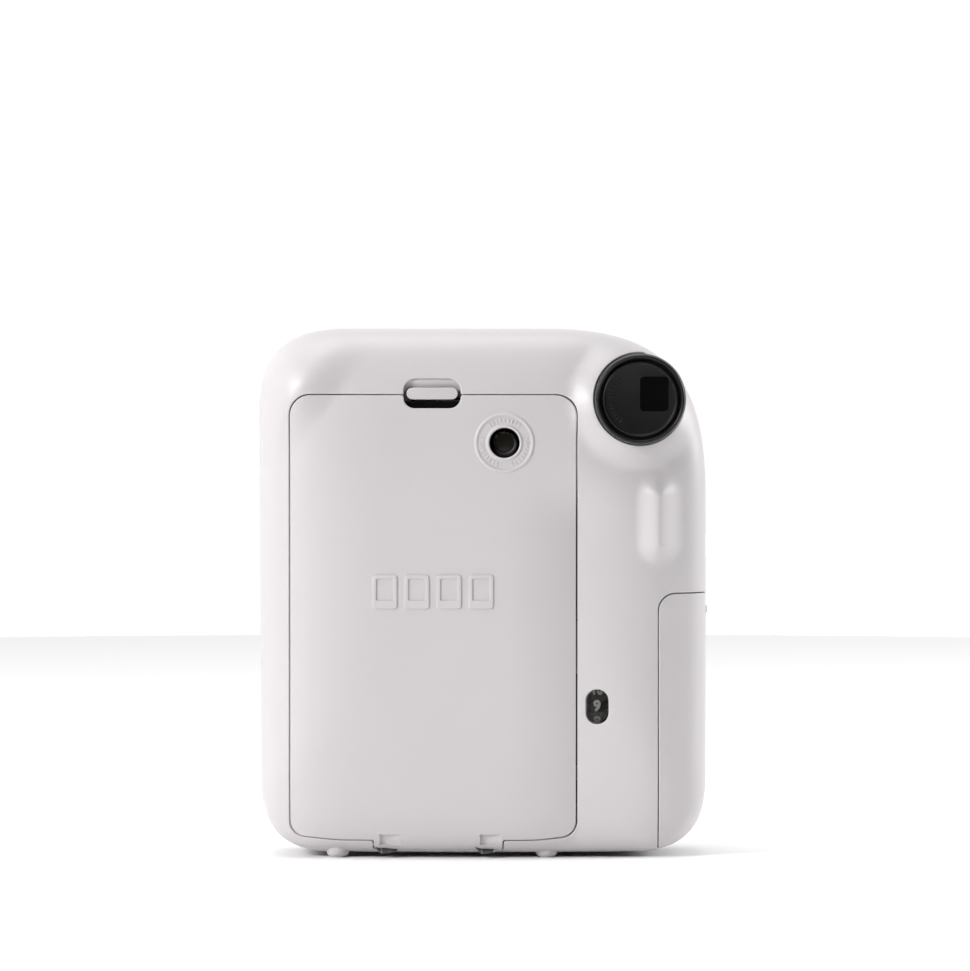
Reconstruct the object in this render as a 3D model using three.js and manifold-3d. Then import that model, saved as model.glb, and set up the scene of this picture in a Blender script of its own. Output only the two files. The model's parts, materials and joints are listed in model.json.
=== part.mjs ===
// Instant film camera with a twist-to-open lens, a hinged film door and a side battery cover.
// Units are millimetres. +Z is up, the lens looks along -Y, and the eyepiece and film door face +Y.
// The origin is on the table, under the middle of the camera.
import * as THREE from "three";
import { mergeVertices } from "three/addons/utils/BufferGeometryUtils.js";
import Module from "manifold-3d";

const wasm = await Module();
wasm.setup();

// ---------- driving dimensions ----------

const TOP_Z = 122.4;
const BOTTOM_Z = 1.0; // underside of the case; the feet reach the table
const MID_Z = 61.5;
const GRIP_SIDE_X = -51.85;
const FILM_SIDE_X = 51.9;
const BACK_Y = 27.5; // middle of the back
const FRONT_Y = -14.5; // middle of the front, without the lens collar
const WALL = 2.2;
const SPLIT_Y = 1; // the front and rear covers meet here
const SEAM = 0.25; // half of the gap between two outside panels
const CLEAR = 0.3; // gap between two pieces that touch

const ROLL_START = 0.46; // share of the way out from the middle where the case starts to round off
const BACK_ROLL = 13.5;
const FRONT_ROLL = 11;

const FILM_X = 11.5; // middle of the film, the door and the lens
const DOOR = { left: FILM_X - 33.2, right: FILM_X + 33.2, bottom: 5.2, top: 107.3, corner: 5 };
const HINGE = { y: 23, z: 3.4, pin: 0.6, bore: 0.85, knuckle: 1.4, sweep: 2.3 };
const TAB = { left: FILM_X - 16.2, right: FILM_X + 13.8, bottom: 1.9, front: 21.3 };
const LATCH = { x: 11.7, z: 107.6, width: 13.2, height: 6.9, travel: 1.6 };
const CHECK_WINDOW = { x: -5.0, z: 96.2, radius: 3.5, ring: 6.8 };
const COUNTER = { x: -26.4, z: 35.2, width: 5.2, height: 8.0, y: 16.1, apothem: 6.9, facets: 12 };
const EYEPIECE = { x: -36.2, z: 106.3, radius: 10.5, back: 33.3 };
const FINDER = { x: -39.4, z: 107.5, width: 6.9, height: 8.3 };
const BATTERY_SEAM = { x: -40.6, z: 61.3, corner: 4 };
const CELL = { x: -38.8, radius: 7.25, front: -4.4, rear: 10.2 };
const STRAP = { z: 72, height: 5, first: 4.8, width: 4.3, bar: 2.0, floor: -45.2 };

const LENS = { x: FILM_X, z: 52 };
const COLLAR = { foot: 33.5, lip: 30.4, bore: 28.3, front: -23.5 };
const RING = { outer: 27.8, inner: 20.8, front: -31.5, back: -16 };
const BARREL = { outer: 19.4, inner: 18, front: -33.3, back: -15.3, opening: 8 };

const BUTTON = { x: -38, z: 77, radius: 6.2 };
const FLASH = { x: 4, z: 104.8, width: 26, height: 15.5 };
const FILM_PLANE_Y = 6.4;
const ROLLER = { radius: 2.65, spacing: 5.5, z: 113, from: -21, to: 41.8 };
const SLOT = { width: 58, from: 3.8, to: 9.0 };
const GEAR = { module: 0.5, back: -25.2, front: -22.9 };

// ---------- small tools ----------

const smooth = (from, to, v) => THREE.MathUtils.smoothstep(v, from, to);
const bell = (dx, dz) => Math.exp(-0.5 * (dx * dx + dz * dz));

// A closed three.js geometry as a solid that can be joined and cut.
function solid(geometry) {
  const bare = geometry.index ? geometry.toNonIndexed() : geometry.clone();
  bare.deleteAttribute("normal");
  bare.deleteAttribute("uv");
  const merged = mergeVertices(bare, 1e-4);
  const triVerts = new Uint32Array(merged.index.array);
  const vertProperties = new Float32Array(merged.attributes.position.array);
  const made = new wasm.Manifold(new wasm.Mesh({ numProp: 3, vertProperties, triVerts }));
  if (made.volume() > 0) return made;
  for (let i = 0; i < triVerts.length; i += 3) {
    [triVerts[i + 1], triVerts[i + 2]] = [triVerts[i + 2], triVerts[i + 1]];
  }
  return new wasm.Manifold(new wasm.Mesh({ numProp: 3, vertProperties, triVerts }));
}

function geometryOf(made) {
  const mesh = made.getMesh();
  const position = new Float32Array(mesh.numVert * 3);
  for (let i = 0; i < mesh.numVert; i++) {
    position.set(mesh.vertProperties.subarray(i * mesh.numProp, i * mesh.numProp + 3), i * 3);
  }
  const geometry = new THREE.BufferGeometry();
  geometry.setAttribute("position", new THREE.BufferAttribute(position, 3));
  geometry.setIndex(new THREE.BufferAttribute(new Uint32Array(mesh.triVerts), 1));
  geometry.computeVertexNormals();
  return geometry;
}

const box = (x0, x1, y0, y1, z0, z1) =>
  solid(
    new THREE.BoxGeometry(x1 - x0, y1 - y0, z1 - z0).translate((x0 + x1) / 2, (y0 + y1) / 2, (z0 + z1) / 2),
  );

// Round bars along each axis.
const rodY = (radius, y0, y1, x, z, sides = 32) =>
  solid(new THREE.CylinderGeometry(radius, radius, y1 - y0, sides).translate(x, (y0 + y1) / 2, z));
const rodX = (radius, x0, x1, y, z, sides = 20) =>
  solid(
    new THREE.CylinderGeometry(radius, radius, x1 - x0, sides)
      .rotateZ(Math.PI / 2)
      .translate((x0 + x1) / 2, y, z),
  );
const rodZ = (radius, z0, z1, x, y, sides = 20) =>
  solid(
    new THREE.CylinderGeometry(radius, radius, z1 - z0, sides)
      .rotateX(Math.PI / 2)
      .translate(x, y, (z0 + z1) / 2),
  );

// A turned piece about an axis along Y; the profile's points are (radius, y).
const turned = (profile, x, z, sides = 48) =>
  solid(
    new THREE.LatheGeometry(
      [...profile, profile[0]].map(([r, y]) => new THREE.Vector2(r, y)),
      sides,
    ).translate(x, 0, z),
  );

// A flat shape in the XZ plane, made thick from y0 to y1.
const plate = (shape, y0, y1, curveSegments = 5) =>
  solid(
    new THREE.ExtrudeGeometry(shape, { depth: y1 - y0, bevelEnabled: false, curveSegments })
      .rotateX(Math.PI / 2)
      .translate(0, y1, 0),
  );

function roundedShape(left, right, bottom, top, r) {
  const s = new THREE.Shape();
  s.moveTo(left + r, bottom);
  s.lineTo(right - r, bottom);
  s.absarc(right - r, bottom + r, r, -Math.PI / 2, 0, false);
  s.lineTo(right, top - r);
  s.absarc(right - r, top - r, r, 0, Math.PI / 2, false);
  s.lineTo(left + r, top);
  s.absarc(left + r, top - r, r, Math.PI / 2, Math.PI, false);
  s.lineTo(left, bottom + r);
  s.absarc(left + r, bottom + r, r, Math.PI, 1.5 * Math.PI, false);
  return s;
}

const capsule = (x, z, width, height, grow = 0) =>
  roundedShape(
    x - width / 2 - grow,
    x + width / 2 + grow,
    z - height / 2 - grow,
    z + height / 2 + grow,
    Math.min(width, height) / 2 + grow - 0.01,
  );

// ---------- the case's outside form ----------

// The outline seen from the front: straight sides, three tight corners and one long one by the finder.
function caseOutline() {
  const path = new THREE.Path();
  path.moveTo(-16, TOP_Z);
  path.lineTo(32, TOP_Z);
  path.bezierCurveTo(46.9, TOP_Z, FILM_SIDE_X, 115.6, FILM_SIDE_X, 103);
  path.lineTo(51.6, 18);
  path.bezierCurveTo(51.6, 6.4, 46.3, BOTTOM_Z, 35, BOTTOM_Z);
  path.lineTo(-35, BOTTOM_Z);
  path.bezierCurveTo(-46.3, BOTTOM_Z, GRIP_SIDE_X, 6.4, GRIP_SIDE_X, 18);
  path.lineTo(GRIP_SIDE_X, 82);
  path.bezierCurveTo(GRIP_SIDE_X, 104.2, -48.3, TOP_Z, -16, TOP_Z);
  return path;
}

// The outline's points seen from the middle of the case, close together only round the corners.
function outlineSpokes() {
  return caseOutline()
    .curves.flatMap((curve) => curve.getPoints(curve.isLineCurve ? 4 : 8).slice(1))
    .map((p) => ({ angle: Math.atan2(p.y - MID_Z, p.x), reach: Math.hypot(p.x, p.y - MID_Z) }))
    .sort((a, b) => a.angle - b.angle);
}

// How far the surface has dropped, from 0 at the middle to 1 at the outline; a higher power is boxier.
function roll(share, power) {
  const s = Math.max(0, (share - ROLL_START) / (1 - ROLL_START));
  return 1 - (1 - s ** power) ** (1 / power);
}

// The back: a soft pillow with a raised corner, a mound under the eyepiece, a thumb rest and a dip
// where the grip starts beside the door.
function backY(x, z, share) {
  const downwards = Math.max(0, (MID_Z - z) / Math.hypot(x, z - MID_Z, 1e-6));
  const gripwards = Math.max(0, -x / Math.hypot(x, z - MID_Z, 1e-6));
  const power = 2.4 + 2.6 * downwards ** 4 - 0.3 * gripwards ** 2;
  const rim = 1 - share ** 10;
  const corner = 3.8 * bell((x - 44) / 8, (z - 110) / 8);
  const mound = 3.0 * (1 - smooth(9.5, 17, Math.hypot(x - EYEPIECE.x, z - EYEPIECE.z)));
  const thumb = 2.6 * bell((x + 41) / 4.2, (z - 78.5) / 7.5);
  const dip = dipBesideDoor(-x) * (1 - smooth(72, 90, z));
  return BACK_Y - BACK_ROLL * roll(share, power) + rim * (corner + mound + thumb - dip);
}

function dipBesideDoor(towardsGrip) {
  const edge = -DOOR.left;
  const start = 6;
  const end = 40;
  if (towardsGrip < start || towardsGrip > end) return 0;
  if (towardsGrip < edge) return 1.6 * ((towardsGrip - start) / (edge - start)) ** 2;
  return 1.6 * (1 - (towardsGrip - edge) / (end - edge)) ** 1.3;
}

// The front: a pillow that swells over the battery grip.
function frontY(x, z, share) {
  const rim = 1 - share ** 10;
  const grip = 4.2 * (1 - smooth(-38, -24, x)) * (1 - smooth(88, 104, z));
  return FRONT_Y + FRONT_ROLL * roll(share, 3.2) - rim * grip;
}

const BACK_RINGS = [0.4, 0.58, 0.72, 0.83, 0.915, 0.97, 1];
const FRONT_RINGS = [...BACK_RINGS].reverse();
const SPOKES = outlineSpokes();

// The whole case as one closed form, moved in by inset all round.
function caseForm(inset) {
  const position = [0, backY(0, MID_Z, 0) - inset, MID_Z];
  const rings = [
    ...BACK_RINGS.map((share) => ({ share, height: backY, inward: -inset })),
    ...FRONT_RINGS.map((share) => ({ share, height: frontY, inward: inset })),
  ];
  for (const { share, height, inward } of rings) {
    for (const { angle, reach } of SPOKES) {
      const [cos, sin] = [Math.cos(angle), Math.sin(angle)];
      const y = height(share * reach * cos, MID_Z + share * reach * sin, share) + inward;
      const r = share * (reach - inset);
      position.push(r * cos, y, MID_Z + r * sin);
    }
  }
  position.push(0, frontY(0, MID_Z, 0) + inset, MID_Z);
  const n = SPOKES.length;
  const last = position.length / 3 - 1;
  const index = [];
  for (let k = 0; k < n; k++) {
    const next = (k + 1) % n;
    index.push(0, 1 + k, 1 + next);
    for (let ring = 0; ring < rings.length - 1; ring++) {
      const [a, b] = [1 + ring * n + k, 1 + ring * n + next];
      index.push(a, a + n, b, b, a + n, b + n);
    }
    const tail = 1 + (rings.length - 1) * n;
    index.push(tail + k, last, tail + next);
  }
  const geometry = new THREE.BufferGeometry();
  geometry.setAttribute("position", new THREE.BufferAttribute(new Float32Array(position), 3));
  geometry.setIndex(index);
  return solid(geometry);
}

const outside = caseForm(0);
const inside = caseForm(WALL);
const room = caseForm(WALL + 0.5); // everything held inside the case stays in here
const shell = outside.subtract(inside);
const FAR = 90;
const rearHalf = box(-FAR, FAR, SPLIT_Y + SEAM / 2, FAR, -FAR, 2 * FAR);
const frontHalf = box(-FAR, FAR, -FAR, SPLIT_Y - SEAM / 2, -FAR, 2 * FAR);

// ---------- outside panels ----------

// The door's outline bows down a little towards its hinge.
function doorShape(grow) {
  const { left, right, bottom, top, corner: r } = DOOR;
  const [l, rt, t, b] = [left - grow, right + grow, top + grow, bottom - grow];
  const low = 4.1 - grow;
  const s = new THREE.Shape();
  s.moveTo(l, b + r);
  s.absarc(l + r, b + r, r, Math.PI, 1.5 * Math.PI, false);
  s.quadraticCurveTo(TAB.left - 8, low, TAB.left, low);
  s.lineTo(TAB.right, low);
  s.quadraticCurveTo(TAB.right + 8, low, rt - r, b);
  s.absarc(rt - r, b + r, r, -Math.PI / 2, 0, false);
  s.lineTo(rt, t - r);
  s.absarc(rt - r, t - r, r, 0, Math.PI / 2, false);
  s.lineTo(l + r, t);
  s.absarc(l + r, t - r, r, Math.PI / 2, Math.PI, false);
  return s;
}

function batteryShape(grow) {
  const { x, z, corner: r } = BATTERY_SEAM;
  return roundedShape(-FAR, x + grow, -FAR, z + grow, r);
}

const PANEL_FRONT = 8; // outside panels on the back are cut from here to the back
const latchHole = () => plate(capsule(LATCH.x, LATCH.z, LATCH.width, LATCH.height), 22.2, FAR);

function filmDoor() {
  const skin = shell.intersect(plate(doorShape(-SEAM), 18, FAR));
  const sweep = rodX(HINGE.sweep, -FAR, FAR, HINGE.y, HINGE.z, 32);
  const tabRoom = box(TAB.left, TAB.right, TAB.front, FAR, TAB.bottom, 6);
  const tab = shell.intersect(tabRoom);
  const knuckle = rodX(HINGE.knuckle, TAB.left, TAB.right, HINGE.y, HINGE.z);
  const ribs = [FILM_X - 24, FILM_X + 24].map((x) => box(x - 0.7, x + 0.7, 21.6, 26.6, 24, 92));
  const ring = turned(
    [
      [CHECK_WINDOW.ring - 0.6, 20],
      [CHECK_WINDOW.ring, 20],
      [CHECK_WINDOW.ring, 40],
      [CHECK_WINDOW.ring - 0.6, 40],
    ],
    CHECK_WINDOW.x,
    CHECK_WINDOW.z,
    36,
  ).intersect(caseForm(-0.35));
  const windowSeat = rodY(CHECK_WINDOW.radius + 1.6, 22.4, 26, CHECK_WINDOW.x, CHECK_WINDOW.z, 24);
  const hole = rodY(CHECK_WINDOW.radius, 0, FAR, CHECK_WINDOW.x, CHECK_WINDOW.z, 24);
  const windowStep = rodY(CHECK_WINDOW.radius + 0.8, 0, 24.6, CHECK_WINDOW.x, CHECK_WINDOW.z, 24);
  const pockets = [TAB.left + 2.9, TAB.right - 3.9].map((x) => box(x - 2.35, x + 2.35, 24.4, FAR, 3.2, 5.5));
  const sillCorner = box(TAB.left - 9, TAB.right + 9, 0, TAB.front, -FAR, 7);
  let door = skin.subtract(sweep).subtract(sillCorner).add(tab).add(knuckle);
  for (const rib of ribs) door = door.add(rib.intersect(outside));
  door = door.add(windowSeat).add(ring).subtract(hole).subtract(windowStep);
  for (const pocket of pockets) door = door.subtract(pocket);
  const recessShape = roundedShape(LATCH.x - LATCH.width / 2, LATCH.x + LATCH.width / 2, 104.15, 112, 1.1);
  // the skin is thinner round the recess, which leaves the sliding bar room behind it
  const barRoomShape = roundedShape(LATCH.x - 8.6, LATCH.x + 8.6, 102.9, 112, 0.6);
  return door
    .subtract(plate(recessShape, 18, FAR))
    .subtract(plate(barRoomShape, 18, 25.3))
    .subtract(rodX(HINGE.bore, -FAR, FAR, HINGE.y, HINGE.z, 16));
}

function batteryCover() {
  const skin = shell.intersect(rearHalf).intersect(plate(batteryShape(-SEAM), 0, FAR));
  const nubShape = roundedShape(-55, GRIP_SIDE_X + 1, 56.2, 58, 0.6);
  const nub = plate(nubShape, 6.5, 11.5).intersect(caseForm(-0.45));
  return skin.add(nub);
}

function strapPocket() {
  const { z, height, first, width, bar, floor } = STRAP;
  const end = first + 2 * width + bar;
  const [low, high] = [z - height / 2, z + height / 2];
  const walls = box(-52, floor + 1.2, first - 0.6, end + 1.2, low - 1.2, high + 1.2);
  const behind = box(GRIP_SIDE_X + WALL, floor, first, end, low, high);
  const windows = [first, first + width + bar].map((y) => box(-FAR, floor, y, y + width, low, high));
  return { walls, cuts: [behind, ...windows] };
}

// One low dome with a flat end under the case.
const foot = (x, y) =>
  turned(
    [
      [0, 0],
      [1.6, 0],
      [2.4, 0.6],
      [2.9, 2.4],
      [0, 2.4],
    ],
    0,
    0,
    12,
  )
    .rotate([90, 0, 0])
    .translate([x, y, 0]);

function rearCover() {
  let cover = shell.intersect(rearHalf);
  const latchFloor = box(LATCH.x - 8, LATCH.x + 8, 19.6, 21.2, 108.9, 112.5);
  const latchWalls = [
    box(LATCH.x - 8, LATCH.x - 6.9, 19.6, 26, 107.8, 112.5),
    box(LATCH.x + 6.9, LATCH.x + 8, 19.6, 26, 107.8, 112.5),
    box(LATCH.x - 8, LATCH.x + 8, 19.6, 26, 111.3, 112.5),
  ];
  for (const piece of [latchFloor, ...latchWalls]) cover = cover.add(piece.intersect(outside));
  const pocket = strapPocket();
  cover = cover.add(pocket.walls.intersect(outside).intersect(rearHalf));
  const lugs = [TAB.left - 3.6, TAB.right + 0.4].map((x) =>
    rodX(HINGE.knuckle, x, x + 3.2, HINGE.y, HINGE.z),
  );
  cover = cover.subtract(plate(doorShape(SEAM), PANEL_FRONT, FAR));
  const doorSwing = box(DOOR.left, DOOR.right, HINGE.y + 1, FAR, HINGE.z, 7).subtract(
    rodX(HINGE.sweep - 0.3, -FAR, FAR, HINGE.y, HINGE.z, 24),
  );
  cover = cover.subtract(doorSwing);
  for (const lug of lugs) cover = cover.add(lug);
  cover = cover
    .subtract(box(TAB.left - 0.35, TAB.right + 0.35, TAB.front - 0.4, FAR, -FAR, 6))
    .subtract(rodX(HINGE.bore, TAB.left - 3, TAB.right + 3, HINGE.y, HINGE.z, 16))
    .subtract(plate(batteryShape(SEAM), 0, FAR))
    .subtract(latchHole())
    .subtract(box(LATCH.x - 3.8, LATCH.x + 3.8, 0, FAR, 104, 110.2))
    .subtract(rodY(EYEPIECE.radius + 0.3, 17.7, FAR, EYEPIECE.x, EYEPIECE.z, 40))
    .subtract(plate(capsule(COUNTER.x, COUNTER.z, COUNTER.width, COUNTER.height), 20, FAR))
    .subtract(box(FILM_X - SLOT.width / 2, FILM_X + SLOT.width / 2, SLOT.from, SLOT.to, 115, FAR + 40));
  for (const cut of pocket.cuts) cover = cover.subtract(cut);
  for (const x of [-14.8, 33.6]) cover = cover.add(foot(x, 19.5));
  return cover;
}

function frontCover() {
  const collar = turned(
    [
      [COLLAR.bore, -8],
      [COLLAR.foot + 2.4, -8],
      [COLLAR.foot + 1.6, -15.6],
      [COLLAR.foot, -17.6],
      [COLLAR.lip + 1.6, -22.6],
      [COLLAR.lip, COLLAR.front],
      [COLLAR.bore, COLLAR.front],
    ],
    LENS.x,
    LENS.z,
    48,
  );
  const buttonWell = rodY(BUTTON.radius + 1.5, -14.6, -11.4, BUTTON.x, BUTTON.z);
  let cover = shell.intersect(frontHalf).add(collar);
  cover = cover.subtract(rodY(COLLAR.bore, -FAR, 0, LENS.x, LENS.z, 48)).add(buttonWell);
  cover = cover
    .subtract(rodY(BUTTON.radius + 0.35, -FAR, -12.6, BUTTON.x, BUTTON.z))
    .subtract(rodY(2.2, -FAR, 0, BUTTON.x, BUTTON.z, 16))
    .subtract(rodY(9.5, -FAR, -4, EYEPIECE.x, EYEPIECE.z, 40))
    .subtract(plate(capsule(FLASH.x, FLASH.z, FLASH.width, FLASH.height), -FAR, -4));
  for (const [z, r] of SENSORS) cover = cover.subtract(rodY(r + 0.3, -FAR, -4, SENSOR_X, z, 20));
  for (const x of [-14.8, 33.6]) cover = cover.add(foot(x, -4));
  return cover;
}

const SENSOR_X = -18.6;
const SENSORS = [
  [108.6, 2.6],
  [101.4, 1.9],
];

// ---------- film path ----------

const CHAMBER = { left: -21, right: 44, bottom: 7, top: 105.5, front: 3.7, back: 21.4, wall: 1.5 };

function filmChamber() {
  const { left, right, bottom, top, front, back, wall } = CHAMBER;
  const tray = box(left, right, front, back, bottom, top)
    .subtract(box(left + wall, right - wall, front + wall, FAR, bottom + wall, top - wall))
    .intersect(room);
  const aperture = box(FILM_X - 24, FILM_X + 24, 0, 20, 56 - 32, 56 + 32);
  const filmExit = box(FILM_X - 28, FILM_X + 28, FILM_PLANE_Y - 0.4, FILM_PLANE_Y + 2.2, 100, 110);
  const clawSlot = box(left - 1, left + wall + 1, 5.7, 8.9, 40, 62);
  const counterAxle = rodX(1, COUNTER.x - 3.2, left + 0.5, COUNTER.y, COUNTER.z, 16);
  const ears = [
    box(left - 5.4, left + 0.5, front, front + wall, 11.4, 16.6),
    box(right - 0.5, right + 4.8, front, front + wall, 11.4, 16.6),
  ];
  const bosses = SCREWS.map(([x, z]) => rodY(2.2, front - 5, front + 0.5, x, z, 12));
  let chamber = tray.subtract(aperture).subtract(filmExit).subtract(clawSlot).add(counterAxle);
  for (const piece of [...ears, ...bosses]) chamber = chamber.add(piece.intersect(room));
  for (const [x, z] of SCREWS) chamber = chamber.subtract(rodY(1.2, front - 4, front + 2, x, z, 10));
  return chamber;
}

// Four screws hold the chamber: two above the film pack, two on ears beside it.
const SCREWS = [
  [CHAMBER.left - 2.8, 14],
  [CHAMBER.right + 2.4, 14],
  [FILM_X - 20, CHAMBER.top - 3.2],
  [FILM_X + 20, CHAMBER.top - 3.2],
];

function screw() {
  const head = rodY(1.5, 0, 1.2, 0, 0, 16);
  const shank = rodY(0.85, -4.6, 0.2, 0, 0, 10);
  const slot = box(-1, 1, 0.7, 3, -0.2, 0.2);
  return head.add(shank).subtract(slot).subtract(box(-0.2, 0.2, 0.7, 3, -1, 1));
}

// A square-to-square funnel that keeps stray light off the film.
function lightTunnel() {
  const skin = (grow) => {
    const [f, b] = [-8, CHAMBER.front - CLEAR];
    const corners = [
      [f, 20 + grow, 20 + grow, LENS.z],
      [b, 24 + grow, 31 + grow, 55.5],
    ].flatMap(([y, w, h, z]) => [
      [FILM_X - w, y, z - h],
      [FILM_X + w, y, z - h],
      [FILM_X + w, y, z + h],
      [FILM_X - w, y, z + h],
    ]);
    const index = [0, 1, 2, 0, 2, 3, 4, 6, 5, 4, 7, 6];
    for (let k = 0; k < 4; k++) index.push(k, k + 4, (k + 1) % 4, (k + 1) % 4, k + 4, ((k + 1) % 4) + 4);
    const geometry = new THREE.BufferGeometry();
    geometry.setAttribute("position", new THREE.BufferAttribute(new Float32Array(corners.flat()), 3));
    geometry.setIndex(index);
    return solid(geometry);
  };
  const sleeve = turned(
    [
      [19.75, -27],
      [20.4, -27],
      [20.4, -7.2],
      [19.75, -7.2],
    ],
    LENS.x,
    LENS.z,
    32,
  );
  const flange = rodY(24, -9, -7.2, LENS.x, LENS.z, 32);
  const funnel = skin(1.2).add(flange).subtract(skin(0)).subtract(rodY(19.75, -FAR, -7, LENS.x, LENS.z, 32));
  return funnel.add(sleeve);
}

const ROLLERS = [
  { name: "drive_roller", gear: "drive_roller_gear", y: FILM_PLANE_Y + ROLLER.spacing / 2 },
  { name: "pinch_roller", gear: "pinch_roller_gear", y: FILM_PLANE_Y - ROLLER.spacing / 2 },
];

function roller() {
  return rodX(ROLLER.radius, FILM_X - 28, FILM_X + 28, 0, 0, 28).add(
    rodX(1, ROLLER.from - 4.4, ROLLER.to + 2, 0, 0, 16),
  );
}

// A spur gear about X with slim trapezoid teeth, so that a pair can turn with backlash.
function spurGear(teeth, bore, phase = 0) {
  const pitch = (GEAR.module * teeth) / 2;
  const [root, tip] = [pitch - 1.1 * GEAR.module, pitch + 0.8 * GEAR.module];
  const step = (2 * Math.PI) / teeth;
  const shape = new THREE.Shape();
  for (let k = 0; k < teeth; k++) {
    const at = (k + phase) * step;
    const flank = [
      [root, -0.25],
      [tip, -0.1],
      [tip, 0.1],
      [root, 0.25],
    ];
    flank.forEach(([r, share], i) => {
      const a = at + share * step;
      shape[k + i ? "lineTo" : "moveTo"](r * Math.cos(a), r * Math.sin(a));
    });
  }
  shape.closePath();
  shape.holes.push(new THREE.Path().absarc(0, 0, bore, 0, 2 * Math.PI, true));
  const thick = GEAR.front - GEAR.back;
  return solid(
    new THREE.ExtrudeGeometry(shape, { depth: thick, bevelEnabled: false, curveSegments: 8 })
      .rotateX(Math.PI / 2)
      .rotateZ(Math.PI / 2)
      .translate(GEAR.back, 0, 0),
  );
}

const MOTOR = { y: -3.6, z: 90, radius: 6 };
const IDLER_TEETH = 26;
const PINION_TEETH = 10;
const ROLLER_TEETH = 11;
const pitchOf = (teeth) => (GEAR.module * teeth) / 2;

// The upper idler hangs under the drive roller's gear; the lower one joins it to the motor's pinion.
function idlerCentres() {
  const motor = new THREE.Vector2(MOTOR.y, MOTOR.z);
  const upper = new THREE.Vector2(ROLLERS[0].y, ROLLER.z - pitchOf(ROLLER_TEETH) - pitchOf(IDLER_TEETH));
  const fromMotor = pitchOf(PINION_TEETH) + pitchOf(IDLER_TEETH);
  const fromUpper = 2 * pitchOf(IDLER_TEETH);
  const line = upper.clone().sub(motor);
  const span = line.length();
  const run = (span ** 2 + fromMotor ** 2 - fromUpper ** 2) / (2 * span);
  const rise = Math.sqrt(fromMotor ** 2 - run ** 2);
  const along = line.normalize();
  const side = new THREE.Vector2(-along.y, along.x);
  const lower = motor.clone().addScaledVector(along, run).addScaledVector(side, rise);
  return [lower, upper];
}

const [IDLER_A, IDLER_B] = idlerCentres();

// Turns a driven gear so that its gap faces the tooth of the gear that drives it.
function meshPhase(teeth, centre, driver, driverTeeth, driverPhase) {
  const towards = Math.atan2(centre.y - driver.y, centre.x - driver.x);
  const driverTurn = (towards / (2 * Math.PI)) * driverTeeth - driverPhase;
  const back = ((towards + Math.PI) / (2 * Math.PI)) * teeth;
  return back + driverTurn + 0.5;
}

function sidePlate() {
  const holes = [];
  for (const { y } of ROLLERS) holes.push(rodX(1.2, -FAR, FAR, y, ROLLER.z, 16));
  let made = box(-22.5, -21.4, -11, 17, 86, 118.5).intersect(room);
  made = made.subtract(rodX(2.2, -FAR, FAR, MOTOR.y, MOTOR.z, 16));
  for (const hole of holes) made = made.subtract(hole);
  for (const { x, y } of [IDLER_A, IDLER_B]) made = made.add(rodX(0.9, -25.6, -22, x, y, 16));
  return made;
}

function farPlate() {
  let made = box(41.9, 42.9, FILM_PLANE_Y - 6, FILM_PLANE_Y + 6, 108, 117.6).intersect(room);
  for (const { y } of ROLLERS) made = made.subtract(rodX(1.2, -FAR, FAR, y, ROLLER.z, 16));
  return made;
}

function filmClaw() {
  const slide = box(-22.9, CHAMBER.left - CLEAR, 5.2, 9.4, 42, 54);
  const hook = box(-22, -19.2, 6.1, 8.4, 42.6, 45);
  return slide.add(hook);
}

// ---------- lens ----------

function lensRing() {
  const { outer, inner, front, back } = RING;
  const body = turned(
    [
      [inner, back],
      [outer - 0.4, back],
      [outer - 0.4, -24.2],
      [outer, -25],
      [outer, front + 1.2],
      [outer - 1.2, front],
      [inner + 1, front],
      [inner, front + 1],
    ],
    0,
    0,
    48,
  );
  const grip = rodY(1.4, -FAR, -24.6, outer + 0.55, 0, 8);
  let made = body;
  const flutes = 24;
  for (let k = 0; k < flutes; k++) made = made.subtract(grip.rotate([0, (360 * k) / flutes, 0]));
  return made;
}

function lensBarrel() {
  const { outer, inner, front, back, opening } = BARREL;
  const body = turned(
    [
      [opening, front + 1.4],
      [opening + 1.4, front + 0.5],
      [inner - 1.2, front + 0.5],
      [inner, front],
      [outer - 0.5, front],
      [outer, front + 0.5],
      [outer, back],
      [inner, back],
      [inner, front + 2.2],
      [opening, front + 2.2],
    ],
    0,
    0,
    48,
  );
  return body.subtract(rodY(MIRROR.radius + 0.3, -FAR, front + 1.1, MIRROR.x, 0, 24));
}

const MIRROR = { x: 13.1, radius: 3.4 };

const lensGlass = (radius, middle, bulge, thickness) => {
  const steps = 3;
  const front = Array.from({ length: steps + 1 }, (_, i) => {
    const r = (radius * i) / steps;
    return [r, middle - thickness / 2 - bulge * (1 - (r / radius) ** 2)];
  });
  return turned([...front, [radius, middle + thickness / 2], [0, middle + thickness / 2]], 0, 0, 24);
};

// One of the two sliding covers that close the lens opening: half a disc.
function coverBlade(side) {
  const shape = new THREE.Shape();
  shape.moveTo(-9, 0.15);
  shape.lineTo(9, 0.15);
  shape.absarc(0, 0, 9, 0.02, Math.PI - 0.02, false);
  const blade = plate(shape, BARREL.front + 2.5, BARREL.front + 3.1, 16);
  return side > 0 ? blade : blade.rotate([0, 180, 0]);
}

function shutterPlate() {
  const disc = rodY(17.6, -24.4, -23.2, 0, 0, 40);
  return disc.subtract(rodY(5, -FAR, 0, 0, 0, 24)).add(rodY(0.9, -23.4, -21.2, 11, 0, 12));
}

function shutterBlade() {
  const leaf = new THREE.Shape();
  leaf.absarc(0, 0, 6.2, 0, 2 * Math.PI, false);
  const arm = plate(roundedShape(0, 13, -1.8, 1.8, 1.7), -22.9, -22.4);
  return plate(leaf, -22.9, -22.4, 16).add(arm).subtract(rodY(1.1, -FAR, 0, 11, 0, 12));
}

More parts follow.
